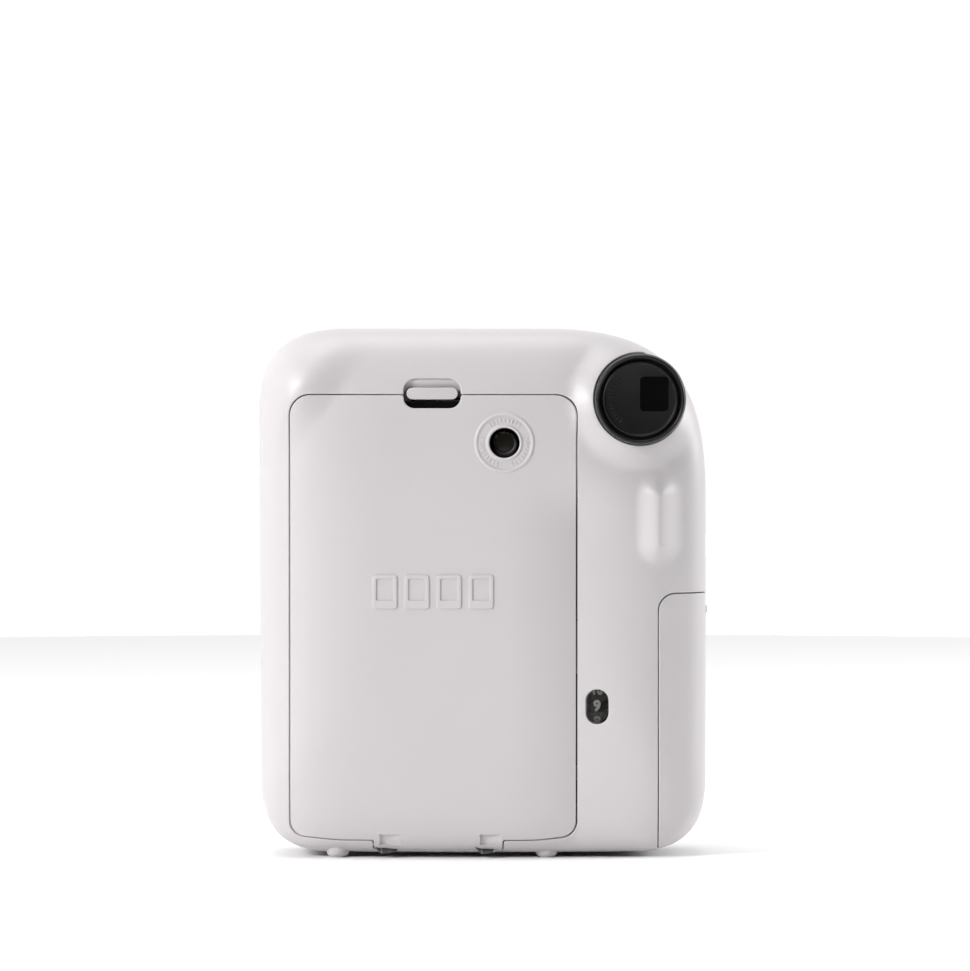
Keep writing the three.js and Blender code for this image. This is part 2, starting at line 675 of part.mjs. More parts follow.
function rearCell() {
  const plateBack = rodY(17.6, -17, BARREL.back - 0.3, 0, 0, 40);
  const tube = rodY(8.6, -21.4, -17.1, 0, 0, 32);
  return plateBack.add(tube.translate([0, 0.2, 0])).subtract(rodY(7, -FAR, 0, 0, 0, 32));
}

// ---------- finder, flash and controls ----------

function eyepieceRing() {
  const { radius, back } = EYEPIECE;
  const body = turned(
    [
      [0, 18],
      [radius - 1, 18],
      [radius, 19],
      [radius, back - 2],
      [radius - 1.2, back - 0.3],
      [radius - 2, back],
      [radius - 2.6, back - 1],
      [0, back - 1],
    ],
    EYEPIECE.x,
    EYEPIECE.z,
    48,
  );
  const { x, z, width, height } = FINDER;
  const tunnel = box(x - width / 2, x + width / 2, 0, FAR, z - height / 2, z + height / 2);
  const lensSeat = box(
    x - width / 2 - 0.9, x + width / 2 + 0.9,
    0, 22.6,
    z - height / 2 - 0.9, z + height / 2 + 0.9,
  );
  return body.subtract(tunnel).subtract(lensSeat);
}

function finderTube() {
  const { x, z, width, height } = FINDER;
  const walls = box(
    x - width / 2 - 1.4, x + width / 2 + 1.4,
    -5.4, 17.4,
    z - height / 2 - 1.4, z + height / 2 + 1.4,
  );
  const hollow = box(x - width / 2, x + width / 2, -FAR, FAR, z - height / 2, z + height / 2);
  return walls.intersect(room).subtract(hollow);
}

function finderBezel() {
  const { x, z, width, height } = FINDER;
  const body = turned(
    [
      [0, -6],
      [9.2, -6],
      [9.2, -14.6],
      [8.6, -15.4],
      [7.8, -15.4],
      [7.2, -14.6],
      [0, -14.6],
    ],
    EYEPIECE.x,
    EYEPIECE.z,
    40,
  );
  const tunnel = box(
    x - width / 2 + 0.4, x + width / 2 - 0.4,
    -FAR, 0,
    z - height / 2 + 0.4, z + height / 2 - 0.4,
  );
  const seat = box(
    x - width / 2 - 0.9, x + width / 2 + 0.9,
    -8.4, 0,
    z - height / 2 - 0.9, z + height / 2 + 0.9,
  );
  return body.subtract(tunnel).subtract(seat);
}

function flashReflector() {
  const outer = plate(capsule(FLASH.x, FLASH.z, FLASH.width - 2, FLASH.height - 2), -11.2, -3.4);
  const trough = rodX(6.2, FLASH.x - 10.4, FLASH.x + 10.4, -11.4, FLASH.z, 28);
  const tubeHoles = rodX(1.8, -FAR, FAR, -7.6, FLASH.z, 16);
  return outer.subtract(trough).subtract(tubeHoles);
}

function shutterButton() {
  const cap = turned(
    [
      [0, -18.3],
      [3.6, -18.5],
      [BUTTON.radius - 0.7, -18.9],
      [BUTTON.radius, -18.3],
      [BUTTON.radius, -15.2],
      [0, -15.2],
    ],
    0,
    0,
    40,
  );
  return cap.add(rodY(1.8, -15.4, -8.6, 0, 0, 16));
}

function coilSpring(radius, wire, length, turns, segmentsPerTurn = 10) {
  class Helix extends THREE.Curve {
    getPoint(t, target = new THREE.Vector3()) {
      const a = 2 * Math.PI * turns * t;
      return target.set(radius * Math.cos(a), length * t, radius * Math.sin(a));
    }
  }
  const section = new THREE.Shape().absarc(0, 0, wire, 0, 2 * Math.PI, false);
  return solid(
    new THREE.ExtrudeGeometry(section, {
      extrudePath: new Helix(),
      steps: turns * segmentsPerTurn,
      curveSegments: 3,
      bevelEnabled: false,
    }),
  );
}

function doorLatch() {
  const bar = plate(capsule(LATCH.x, LATCH.z - 0.1, LATCH.width - 1.6, 2.8), 22.6, 25.2);
  const stem = box(LATCH.x - 3.4, LATCH.x + 3.4, 18.8, 23, 107.2, 108.7);
  const slider = box(LATCH.x - 8, LATCH.x + 8, 17.4, 19.2, 107.2, 113);
  return bar.add(stem).add(slider);
}

// ---------- power ----------

function batteryBox() {
  const bay = BAY;
  const walls = box(
    bay.left - 1, bay.right + 1.2,
    bay.front - 1.2, bay.rear + 1.2,
    bay.bottom - 1.2, bay.top + 1.2,
  );
  const hollow = box(-FAR, bay.right, bay.front, bay.rear, bay.bottom, bay.top);
  return walls.intersect(room).subtract(hollow).subtract(box(-FAR, bay.left, -FAR, FAR, -FAR, FAR));
}

const BAY = {
  left: CELL.x - CELL.radius,
  right: CELL.x + CELL.radius + 0.1,
  front: CELL.front - CELL.radius - 0.2,
  rear: CELL.rear + CELL.radius + 0.2,
  bottom: 9,
  top: 60.6,
};

const linkPlate = () =>
  box(CELL.x - 5, CELL.x + 5, CELL.front - 4, CELL.rear + 4, BAY.top - 0.7, BAY.top - CLEAR);
const buttonContact = () =>
  box(CELL.x - 4, CELL.x + 4, CELL.rear - 4, CELL.rear + 4, BAY.bottom + CLEAR, BAY.bottom + 0.7);

function counterDrum() {
  const { x, y, z, apothem, facets } = COUNTER;
  const corner = apothem / Math.cos(Math.PI / facets);
  const drum = solid(
    new THREE.CylinderGeometry(corner, corner, 4.4, facets)
      .rotateY(Math.PI / facets)
      .rotateZ(Math.PI / 2)
      .translate(x, 0, 0),
  );
  return drum.subtract(rodX(1.25, -FAR, FAR, 0, 0, 16)).translate([0, y, z]);
}

// ---------- finishes ----------

const finish = (color, roughness, metalness = 0) =>
  new THREE.MeshStandardMaterial({ color, roughness, metalness });
const caseWhite = finish(0xe2dede, 0.45);
const satinBlack = finish(0x1c1c1d, 0.4);
const innerBlack = finish(0x121212, 0.75);
const ringGrey = finish(0xb9b6b8, 0.4);
const glass = finish(0x11140f, 0.05);
const clear = finish(0xdfe6e8, 0.05);
const silver = finish(0xc9cbcc, 0.2, 1);
const steel = finish(0x9c9ea1, 0.3, 1);
const brass = finish(0xb89a4a, 0.3, 1);
const nylon = finish(0xe9e7df, 0.5);
const board = finish(0x1d5a36, 0.5);
const capFilm = finish(0x2a3442, 0.4);

// ---------- assembly ----------

const camera = new THREE.Group();

// A named mesh, placed by its own origin in the group that holds it.
function add(group, name, made, material, x = 0, y = 0, z = 0) {
  const mesh = new THREE.Mesh(geometryOf(made), material);
  mesh.name = name;
  mesh.position.set(x, y, z);
  group.add(mesh);
}

function addCase() {
  add(camera, "rear_cover", rearCover(), caseWhite);
  add(camera, "front_cover", frontCover(), caseWhite);
  add(camera, "battery_cover", batteryCover(), caseWhite);
  add(camera, "hinge_pin", rodX(HINGE.pin, TAB.left - 2.8, TAB.right + 2.8, HINGE.y, HINGE.z, 12), steel);
}

function addDoor() {
  add(camera, "film_door", filmDoor(), caseWhite);
  const { x, z, radius } = CHECK_WINDOW;
  add(camera, "film_check_window", rodY(radius + 0.5, 23.2, 24.3, 0, 0, 24), glass, x, 0, z);
  const pad = roundedShape(-6, 6, -13, 13, 3);
  [FILM_X - 13, FILM_X + 13].forEach((padX, i) => {
    const z0 = i ? 56 : 50;
    const name = ["pressure_pad_left", "pressure_pad_right"][i];
    add(camera, name, plate(pad, 21.8, 24.2), innerBlack, padX, 0, z0);
  });
  const latch = doorLatch();
  add(camera, "door_latch", latch, caseWhite);
  add(camera, "latch_spring", coilSpring(1.2, 0.25, 2.0, 3).rotate([90, 0, 0]), steel, LATCH.x, 18.2, 113.6);
}

function addFilmPath() {
  add(camera, "film_chamber", filmChamber(), innerBlack);
  add(camera, "light_tunnel", lightTunnel(), innerBlack);
  const screwY = CHAMBER.front + CHAMBER.wall + CLEAR;
  SCREWS.forEach(([x, z], i) => add(camera, `case_screw_${i + 1}`, screw(), steel, x, screwY, z));
  add(camera, "gear_side_plate", sidePlate(), steel);
  add(camera, "roller_far_plate", farPlate(), steel);
  add(camera, "film_claw", filmClaw(), steel);
  for (const { name, y } of ROLLERS) add(camera, name, roller(), steel, 0, y, ROLLER.z);
}

function addDrive() {
  const start = { x: MOTOR.y, y: MOTOR.z };
  const pinionPhase = 0;
  const phaseA = meshPhase(IDLER_TEETH, IDLER_A, start, PINION_TEETH, pinionPhase);
  const phaseB = meshPhase(IDLER_TEETH, IDLER_B, IDLER_A, IDLER_TEETH, phaseA);
  const driveAt = { x: ROLLERS[0].y, y: ROLLER.z };
  const pinchAt = { x: ROLLERS[1].y, y: ROLLER.z };
  const phaseDrive = meshPhase(ROLLER_TEETH, driveAt, IDLER_B, IDLER_TEETH, phaseB);
  const phasePinch = meshPhase(ROLLER_TEETH, pinchAt, driveAt, ROLLER_TEETH, phaseDrive);
  const motor = rodX(MOTOR.radius, -21, -7, 0, 0, 28).add(rodX(2, -21.2, -20.5, 0, 0, 16));
  add(camera, "motor", motor, silver, 0, MOTOR.y, MOTOR.z);
  const shaft = rodX(0.8, -25.6, -21.5, 0, 0, 12);
  const pinion = spurGear(PINION_TEETH, 0.6, pinionPhase).add(shaft);
  add(camera, "motor_pinion", pinion, brass, 0, MOTOR.y, MOTOR.z);
  add(camera, "idler_gear_lower", spurGear(IDLER_TEETH, 1.15, phaseA), nylon, 0, IDLER_A.x, IDLER_A.y);
  add(camera, "idler_gear_upper", spurGear(IDLER_TEETH, 1.15, phaseB), nylon, 0, IDLER_B.x, IDLER_B.y);
  add(camera, ROLLERS[0].gear, spurGear(ROLLER_TEETH, 1.3, phaseDrive), nylon, 0, driveAt.x, driveAt.y);
  add(camera, ROLLERS[1].gear, spurGear(ROLLER_TEETH, 1.3, phasePinch), nylon, 0, pinchAt.x, pinchAt.y);
}

function addLens() {
  const lens = new THREE.Group();
  lens.position.set(LENS.x, 0, LENS.z);
  camera.add(lens);
  add(lens, "lens_ring", lensRing(), ringGrey);
  add(lens, "lens_barrel", lensBarrel(), satinBlack);
  add(lens, "selfie_mirror", rodY(MIRROR.radius, -32.9, -32.5, 0, 0, 24), silver, MIRROR.x);
  add(lens, "lens_cover_upper", coverBlade(1), satinBlack);
  add(lens, "lens_cover_lower", coverBlade(-1), satinBlack);
  add(lens, "front_lens", lensGlass(7.6, -27.6, 0.9, 2.2), clear);
  add(lens, "front_lens_cell", frontCell(), innerBlack);
  add(lens, "shutter_plate", shutterPlate(), innerBlack);
  add(lens, "shutter_blade", shutterBlade(), steel);
  add(lens, "rear_lens_cell", rearCell(), innerBlack);
  add(lens, "rear_lens", lensGlass(6.6, -18.8, 0.5, 2), clear);
}

function frontCell() {
  const ring = turned(
    [
      [8, -29.4],
      [10, -29.4],
      [10, -26.2],
      [17.6, -26.2],
      [17.6, -25],
      [7, -25],
      [7, -26],
      [8, -26],
    ],
    0,
    0,
    24,
  );
  return ring;
}

function addFinder() {
  const { x, z, width, height } = FINDER;
  add(camera, "eyepiece_ring", eyepieceRing(), satinBlack);
  const pane = (w, h, y0, y1) => box(-w / 2, w / 2, y0, y1, -h / 2, h / 2);
  add(camera, "eyepiece_lens", pane(width + 1.1, height + 1.1, 20.6, 22.2), glass, x, 0, z);
  add(camera, "finder_tube", finderTube(), innerBlack);
  add(camera, "finder_bezel", finderBezel(), satinBlack);
  add(camera, "finder_front_lens", pane(width + 1.1, height + 1.1, -8, -6.4), clear, x, 0, z);
}

function addFlash() {
  const { x, z, width, height } = FLASH;
  const pane = plate(capsule(0, 0, width - 0.6, height - 0.6), -14.2, -11.6);
  add(camera, "flash_window", pane, clear, x, 0, z);
  add(camera, "flash_reflector", flashReflector(), silver);
  add(camera, "flash_tube", rodX(1.3, -13, 13, 0, 0, 16), clear, x, -7.6, z);
  SENSORS.forEach(([sensorZ, r], i) => {
    const name = ["light_meter_window", "flash_sensor_window"][i];
    add(camera, name, rodY(r, -13.4, -10.6, 0, 0, 20), glass, SENSOR_X, 0, sensorZ);
  });
  add(camera, "flash_capacitor", rodZ(5.5, -14, 14, 0, 0, 24), capFilm, -21, -2.2, 34);
}

function addControls() {
  add(camera, "shutter_button", shutterButton(), caseWhite, BUTTON.x, 0, BUTTON.z);
  add(camera, "shutter_spring", coilSpring(3, 0.25, 1.6, 2), steel, BUTTON.x, -14.7, BUTTON.z);
  const knob = rodY(1.2, -7.2, -6, BUTTON.x, BUTTON.z, 12);
  const switchBody = box(BUTTON.x - 3, BUTTON.x + 3, -6.2, -2.6, BUTTON.z - 3, BUTTON.z + 3);
  add(camera, "release_switch", switchBody.add(knob), innerBlack);
  const { x, z, width, height } = COUNTER;
  const pane = plate(capsule(0, 0, width - 0.5, height - 0.5), 23.8, 25.9);
  add(camera, "counter_window", pane, glass, x, 0, z);
  add(camera, "counter_drum", counterDrum(), satinBlack);
}

function addPower() {
  add(camera, "battery_box", batteryBox(), innerBlack);
  add(camera, "cell_link_plate", linkPlate(), silver);
  add(camera, "cell_button_contact", buttonContact(), silver);
  const spring = coilSpring(3.2, 0.35, 1.2, 2).rotate([90, 0, 0]);
  add(camera, "cell_spring_contact", spring, steel, CELL.x, CELL.front, BAY.bottom + 0.75);
  const main = box(-29.8, -14.6, 0.8, 2.2, 50, 83);
  add(camera, "main_board", main, board);
}

addCase();
addDoor();
addFilmPath();
addDrive();
addLens();
addFinder();
addFlash();
addControls();
addPower();

export default camera;
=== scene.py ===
"""Instant film camera, clay white, seen from the back: film door, eyepiece, counter window, battery cover.

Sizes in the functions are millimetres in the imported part's frame; every mesh is made in metres.
"""

import json
import math

import bpy
import numpy as np
from mathutils import Matrix, Vector, geometry
from mathutils.kdtree import KDTree


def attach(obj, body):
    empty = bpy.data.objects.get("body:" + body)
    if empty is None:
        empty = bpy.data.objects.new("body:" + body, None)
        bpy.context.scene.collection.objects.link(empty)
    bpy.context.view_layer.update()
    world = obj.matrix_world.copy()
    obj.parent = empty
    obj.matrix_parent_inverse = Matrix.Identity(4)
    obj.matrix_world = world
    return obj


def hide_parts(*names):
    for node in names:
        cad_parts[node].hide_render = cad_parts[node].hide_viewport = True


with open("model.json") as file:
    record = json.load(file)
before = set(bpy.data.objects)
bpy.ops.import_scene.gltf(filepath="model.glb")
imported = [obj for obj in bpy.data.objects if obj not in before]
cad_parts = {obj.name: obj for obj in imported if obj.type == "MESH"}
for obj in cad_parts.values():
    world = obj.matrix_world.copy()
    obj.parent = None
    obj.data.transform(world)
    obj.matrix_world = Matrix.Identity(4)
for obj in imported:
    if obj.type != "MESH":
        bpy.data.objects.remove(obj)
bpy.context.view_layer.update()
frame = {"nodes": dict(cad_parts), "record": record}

MM = 0.001

# ---------- the case's outside form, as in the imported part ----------

TOP_Z = 122.4
BOTTOM_Z = 1.0
MID_Z = 61.5
GRIP_SIDE_X = -51.85
FILM_SIDE_X = 51.9
BACK_Y = 27.5
FRONT_Y = -14.5
BACK_ROLL = 13.5
FRONT_ROLL = 11.0
SPLIT_Y = 1.0
WALL = 2.2
SEAM = 0.11  # half of the gap seen between two panels
FLAT_SHARE = 0.46  # share of the way out where the case starts to round off
ROLL_BAND = 0.64  # how wide the rounded band is drawn on the panels' cutting plan
ROW_PITCH = 0.87  # rows of a panel's mesh, as a share of the spacing along a row
LIP_STEPS = 4  # steps round a panel's rounded edge

FILM_X = 11.5
DOOR_LEFT, DOOR_RIGHT = FILM_X - 33.2, FILM_X + 33.2
DOOR_BOTTOM, DOOR_LOW, DOOR_TOP = 5.2, 4.1, 107.3
TAB_LEFT, TAB_RIGHT, TAB_BOTTOM = FILM_X - 16.2, FILM_X + 13.8, 1.9
LATCH_X, LATCH_Z, LATCH_WIDTH, LATCH_HEIGHT = 11.7, 107.6, 13.2, 6.9
CHECK_X, CHECK_Z, CHECK_RADIUS = -5.0, 96.2, 3.5
COUNTER_X, COUNTER_Z, COUNTER_WIDTH, COUNTER_HEIGHT = -26.4, 35.2, 5.2, 8.0
EYE_X, EYE_Z, EYE_RADIUS, EYE_BACK = -36.2, 106.3, 10.5, 33.3
FINDER_X, FINDER_Z = -39.4, 107.5
BATTERY_X, BATTERY_Z = -40.6, 61.3
POCKETS, POCKET_HALF, POCKET_LOW, POCKET_HIGH = (-1.8, 21.4), 2.35, 3.2, 5.5
LENS_X, LENS_Z = FILM_X, 52.0
BUTTON_X, BUTTON_Z = -38.0, 77.0
FLASH_X, FLASH_Z = 4.0, 104.8


def curve_points(a, b, c, d, count):
    """Points of a cubic curve from a to d, without the last one."""
    t = np.linspace(0, 1, count, endpoint=False)[:, None]
    a, b, c, d = (np.array(p, float) for p in (a, b, c, d))
    return (1 - t) ** 3 * a + 3 * (1 - t) ** 2 * t * b + 3 * (1 - t) * t**2 * c + t**3 * d


def case_outline():
    """The case seen from the front: three tight corners and one long one by the finder."""
    corners = [
        ((32, TOP_Z), (46.9, TOP_Z), (FILM_SIDE_X, 115.6), (FILM_SIDE_X, 103)),
        ((51.6, 18), (51.6, 6.4), (46.3, BOTTOM_Z), (35, BOTTOM_Z)),
        ((-35, BOTTOM_Z), (-46.3, BOTTOM_Z), (GRIP_SIDE_X, 6.4), (GRIP_SIDE_X, 18)),
        ((GRIP_SIDE_X, 82), (GRIP_SIDE_X, 104.2), (-48.3, TOP_Z), (-16, TOP_Z)),
    ]
    pieces = []
    for corner, following in zip(corners, corners[1:] + corners[:1]):
        pieces.append(curve_points(*corner, 600))
        straight = np.linspace(corner[3], following[0], 400, endpoint=False)
        pieces.append(straight)
    return np.concatenate(pieces)


OUTLINE = case_outline() - [0, MID_Z]
OUTLINE_ANGLE = np.arctan2(OUTLINE[:, 1], OUTLINE[:, 0])
OUTLINE_ORDER = np.argsort(OUTLINE_ANGLE)
OUTLINE_ANGLE = OUTLINE_ANGLE[OUTLINE_ORDER]
OUTLINE_REACH = np.hypot(OUTLINE[:, 0], OUTLINE[:, 1])[OUTLINE_ORDER]


def reach_at(angle):
    return np.interp(angle, OUTLINE_ANGLE, OUTLINE_REACH, period=2 * math.pi)


def smooth(low, high, value):
    t = np.clip((value - low) / (high - low), 0, 1)
    return t * t * (3 - 2 * t)


def back_power(angle):
    downwards = np.clip(-np.sin(angle), 0, None)
    gripwards = np.clip(-np.cos(angle), 0, None)
    return 2.4 + 2.6 * downwards**4 - 0.3 * gripwards**2


def back_relief(x, z):
    """Raised corner, mound under the eyepiece, thumb rest, and the dip where the grip starts."""
    towards = 0.78 * (x - 39.5) + 0.62 * (z - 107.5)
    aside = 0.62 * (x - 39.5) - 0.78 * (z - 107.5)
    corner = 3.4 * smooth(-5.5, 4.5, towards) * np.exp(-0.5 * (aside / 9) ** 2)
    mound = 3.0 * (1 - smooth(9.5, 17, np.hypot(x - EYE_X, z - EYE_Z)))
    past_end = np.clip(np.abs(z - 78.6) - 5.6, 0, None)
    thumb = 3.3 * (1 - smooth(-1.0, 5.8, np.hypot(x + 40.9, past_end)))
    edge = -DOOR_LEFT
    rising = np.clip((-x - 6) / (edge - 6), 0, 1) ** 2
    falling = np.clip(1 - (-x - edge) / (40 - edge), 0, 1) ** 1.3
    dip = 2.2 * np.where(-x < edge, rising, falling) * (1 - smooth(76, 92, z))
    return corner + mound + thumb - dip


def front_power(angle):
    return np.full_like(angle, 3.2)


def collar_relief(x, z):
    """The raised collar that the lens ring turns in, blended into the front."""
    away = np.hypot(x - LENS_X, z - LENS_Z)
    lip = 9.0 * (1 - smooth(29.8, 34.6, away)) - 0.8 * smooth(29.5, 28.3, away)
    foot = 0.9 * np.exp(-(np.clip(away - 33.5, 0, None) / 3.2) ** 2)
    return lip + foot * (away < 60)


def front_relief(x, z):
    grip = 4.2 * smooth(-24, -38, x) * (1 - smooth(88, 104, z))
    return grip + collar_relief(x, z)


class CaseFace:
    """The back or front of the case. Panels are laid out on a flat plan and lifted onto it."""

    def __init__(self, sign, apex, depth, power, relief):
        self.sign, self.apex, self.depth = sign, apex, depth
        self.power, self.relief = power, relief
        self.powers = np.linspace(2.0, 5.2, 33)
        self.along = np.linspace(0, 1, 241)
        turn = np.linspace(0, 1, 4001)
        turn = math.pi / 2 * (3 * turn**2 - 2 * turn**3)
        self.out, self.drop = [], []
        for power in self.powers:
            out = np.sin(turn) ** (2 / power)
            drop = 1 - np.cos(turn) ** (2 / power)
            arc = np.concatenate([[0], np.cumsum(np.hypot(np.diff(out) * 31, np.diff(drop) * depth))])
            self.out.append(np.interp(self.along, arc / arc[-1], out))
            self.drop.append(np.interp(self.along, arc / arc[-1], drop))
        self.out, self.drop = np.array(self.out), np.array(self.drop)

    def _blend(self, table, power, along):
        """Value of a table between its rows for power and its columns for along."""
        row = (power - self.powers[0]) / (self.powers[1] - self.powers[0])
        row = np.clip(row, 0, len(self.powers) - 1.001)
        column = np.clip(along * (len(self.along) - 1), 0, len(self.along) - 1.001)
        r, c = row.astype(int), column.astype(int)
        fr, fc = row - r, column - c
        low = table[r, c] * (1 - fc) + table[r, c + 1] * fc
        high = table[r + 1, c] * (1 - fc) + table[r + 1, c + 1] * fc
        return low * (1 - fr) + high * fr

    def place(self, at):
        at = np.asarray(at, float)
        angle = np.arctan2(at[:, 1], at[:, 0])
        reach = reach_at(angle)
        t = np.hypot(at[:, 0], at[:, 1]) / reach
        along = np.clip((t - FLAT_SHARE) / ROLL_BAND, 0, 1)
        power = self.power(angle)
        out = self._blend(self.out, power, along)
        drop = self._blend(self.drop, power, along)
        share = np.where(t < FLAT_SHARE, t, FLAT_SHARE + (1 - FLAT_SHARE) * out)
        x, z = share * reach * np.cos(angle), MID_Z + share * reach * np.sin(angle)
        side = np.clip(t - FLAT_SHARE - ROLL_BAND, 0, None) * reach
        height = self.apex - self.depth * drop + (1 - share**10) * self.relief(x, z) - side
        return np.stack([x, self.sign * height, z], 1)

    def normal(self, at):
        at = np.asarray(at, float)
        e = 0.04
        across = self.place(at + [e, 0]) - self.place(at - [e, 0])
        up = self.place(at + [0, e]) - self.place(at - [0, e])
        n = self.sign * np.cross(up, across)
        return n / np.linalg.norm(n, axis=1)[:, None]

    def plan(self, points):
        """Where points (x, z), seen straight on, lie on the flat plan."""
        points = np.asarray(points, float) - [0, MID_Z]
        angle = np.arctan2(points[:, 1], points[:, 0])
        reach = reach_at(angle)
        share = np.hypot(points[:, 0], points[:, 1]) / reach
        out = np.clip((share - FLAT_SHARE) / (1 - FLAT_SHARE), 0, 1)
        power = self.power(angle)
        t = share.copy()
        for i in np.nonzero(share > FLAT_SHARE)[0]:
            row = self._blend(self.out, np.full(len(self.along), power[i]), self.along)
            t[i] = FLAT_SHARE + ROLL_BAND * np.interp(out[i], row, self.along)
        return np.stack([t * reach * np.cos(angle), t * reach * np.sin(angle)], 1)

    def plan_side(self, angles, depths):
        """Where points on the case's side, at an angle and a y, lie on the flat plan."""
        angles, depths = np.broadcast_arrays(np.asarray(angles, float), np.asarray(depths, float))
        found = []
        for angle, depth in zip(angles, depths):
            reach = float(reach_at(angle))
            ts = np.linspace(0.5, 1.6, 1101)
            line = np.stack([ts * reach * math.cos(angle), ts * reach * math.sin(angle)], 1)
            heights = self.sign * self.place(line)[:, 1]
            t = np.interp(-self.sign * depth, -heights[200:], ts[200:])
            found.append([t * reach * math.cos(angle), t * reach * math.sin(angle)])
        return np.array(found)


back_face = CaseFace(1, BACK_Y, BACK_ROLL, back_power, back_relief)
front_face = CaseFace(-1, -FRONT_Y, FRONT_ROLL, front_power, front_relief)

# ---------- outlines on the flat plan ----------


def rounded(corners, step=0.5):
    """A closed line through (x, z, radius) corners, each turned with its own radius."""
    count = len(corners)
    line = []
    for i in range(count):
        before, here, after = (np.array(corners[(i + k) % count][:2], float) for k in (-1, 0, 1))
        radius = corners[i][2]
        to_before, to_after = before - here, after - here
        to_before /= np.linalg.norm(to_before)
        to_after /= np.linalg.norm(to_after)
        half = math.acos(np.clip(np.dot(to_before, to_after), -1, 1)) / 2
        if radius <= 0 or half > 1.55:
            line.append(here)
            continue
        inward = (to_before + to_after) / np.linalg.norm(to_before + to_after)
        middle = here + inward * radius / math.sin(half)
        start = here + to_before * radius / math.tan(half)
        end = here + to_after * radius / math.tan(half)
        first = math.atan2(*(start - middle)[::-1])
        sweep = (math.atan2(*(end - middle)[::-1]) - first + math.pi) % (2 * math.pi) - math.pi
        bits = max(3, int(abs(sweep) * radius / step) + 1)
        for k in range(bits + 1):
            angle = first + sweep * k / bits
            line.append(middle + radius * np.array([math.cos(angle), math.sin(angle)]))
    return np.array(line)


def filled_in(line, step=0.7):
    """The same closed line with points added along its long stretches."""
    points = []
    for a, b in zip(line, np.roll(line, -1, 0)):
        bits = max(1, int(np.linalg.norm(b - a) / step))
        points += [a + (b - a) * k / bits for k in range(bits)]
    return np.array(points)


def circle(x, z, radius, step=0.5):
    bits = max(16, int(2 * math.pi * radius / step))
    angle = np.linspace(0, 2 * math.pi, bits, endpoint=False)
    return np.stack([x + radius * np.cos(angle), z + radius * np.sin(angle)], 1)


def kept_inside(points, most=0.984):
    """The same line, its points past the case's edge brought back just inside it."""
    points = points - [0, MID_Z]
    most = most * reach_at(np.arctan2(points[:, 1], points[:, 0]))
    shrink = np.minimum(1, most / np.hypot(points[:, 0], points[:, 1]))
    return points * shrink[:, None] + [0, MID_Z]


def pill(x, z, width, height, grow=0.0):
    w, h = width / 2 + grow, height / 2 + grow
    r = min(w, h) - 0.01
    return rounded([(x - w, z - h, r), (x + w, z - h, r), (x + w, z + h, r), (x - w, z + h, r)])


def door_corners(grow):
    """The door's outline up to the ends of its top edge, counter-clockwise from there."""
    left, right = DOOR_LEFT - grow, DOOR_RIGHT + grow
    top, bottom, low = DOOR_TOP + grow, DOOR_BOTTOM - grow, DOOR_LOW - grow
    tab_left, tab_right, tab_low = TAB_LEFT - grow, TAB_RIGHT + grow, TAB_BOTTOM - grow * 0.6
    return [
        (left, top, 4.9),
        (left, bottom, 3.8),
        (tab_left - 8, low + 0.05, 30),
        (tab_left, low, 0.6),
        (tab_left, tab_low, 0.5),
        (tab_right, tab_low, 0.5),
        (tab_right, low, 0.6),
        (tab_right + 8, low + 0.05, 30),
        (right, bottom, 3.8),
        (right, top, 4.9),
    ]


def door_outline():
    """The film door, with half of the latch's recess cut from its top edge."""
    top = DOOR_TOP - SEAM
    x0, x1 = LATCH_X - LATCH_WIDTH / 2, LATCH_X + LATCH_WIDTH / 2
    low = LATCH_Z - LATCH_HEIGHT / 2
    notch = [(x1, top, 0.5), (x1, low, 2.6), (x0, low, 2.6), (x0, top, 0.5)]
    return rounded(door_corners(-SEAM) + notch)


def door_opening():
    """The opening in the rear cover, with the other half of the latch's recess."""
    top = DOOR_TOP + SEAM
    x0, x1 = LATCH_X - LATCH_WIDTH / 2, LATCH_X + LATCH_WIDTH / 2
    high = LATCH_Z + LATCH_HEIGHT / 2
    notch = [(x1, top, 0.4), (x1, high, 2.9), (x0, high, 2.9), (x0, top, 0.4)]
    return rounded(door_corners(SEAM) + notch)


def angle_of(x=None, z=None, low=False):
    """The direction from the case's middle to the outline where it has that x or z."""
    angles = np.linspace(-math.pi, math.pi, 7201)
    reach = reach_at(angles)
    xs, zs = reach * np.cos(angles), MID_Z + reach * np.sin(angles)
    if x is None:
        wanted = (xs < 0) & (np.abs(zs - z) < 1)
        return float(angles[wanted][np.argmin(np.abs(zs[wanted] - z))])
    wanted = (zs < MID_Z) if low else (zs > MID_Z)
    return float(angles[wanted][np.argmin(np.abs(xs[wanted] - x))])


def split_line(face, start, end, y):
    """The line where the covers meet, going counter-clockwise from one angle to another."""
    if end <= start:
        end += 2 * math.pi
    angles = np.linspace(start, end, max(2, int((end - start) * 60 / 0.7)))
    return face.plan_side(angles, np.full(len(angles), y))


def battery_seam(grow):
    """The seam from the grip side, across the back and down to the underside, on the plan."""
    x, z = BATTERY_X + grow, BATTERY_Z + grow
    side, under = angle_of(z=z), angle_of(x=x, low=True)
    depths = np.linspace(SPLIT_Y + 0.15, 13.5, 19)
    across = rounded([(-51.7, z, 0), (x, z, 4.0), (x, 1.4, 0)])
    across = across[np.lexsort((across[:, 0] - across[:, 1],))]
    onto_back = face_line(across)
    down = back_face.plan_side(np.full(19, side), depths)
    underside = back_face.plan_side(np.full(19, under), depths[::-1])
    return side, under, np.concatenate([down, onto_back, underside])


def face_line(points, step=0.7):
    """Points along an open line on the back, laid on the plan."""
    dense = []
    for a, b in zip(points, points[1:]):
        bits = max(1, int(np.linalg.norm(b - a) / step))
        dense += [a + (b - a) * k / bits for k in range(bits)]
    dense.append(points[-1])
    return back_face.plan(np.array(dense))


# ---------- mesh tools ----------


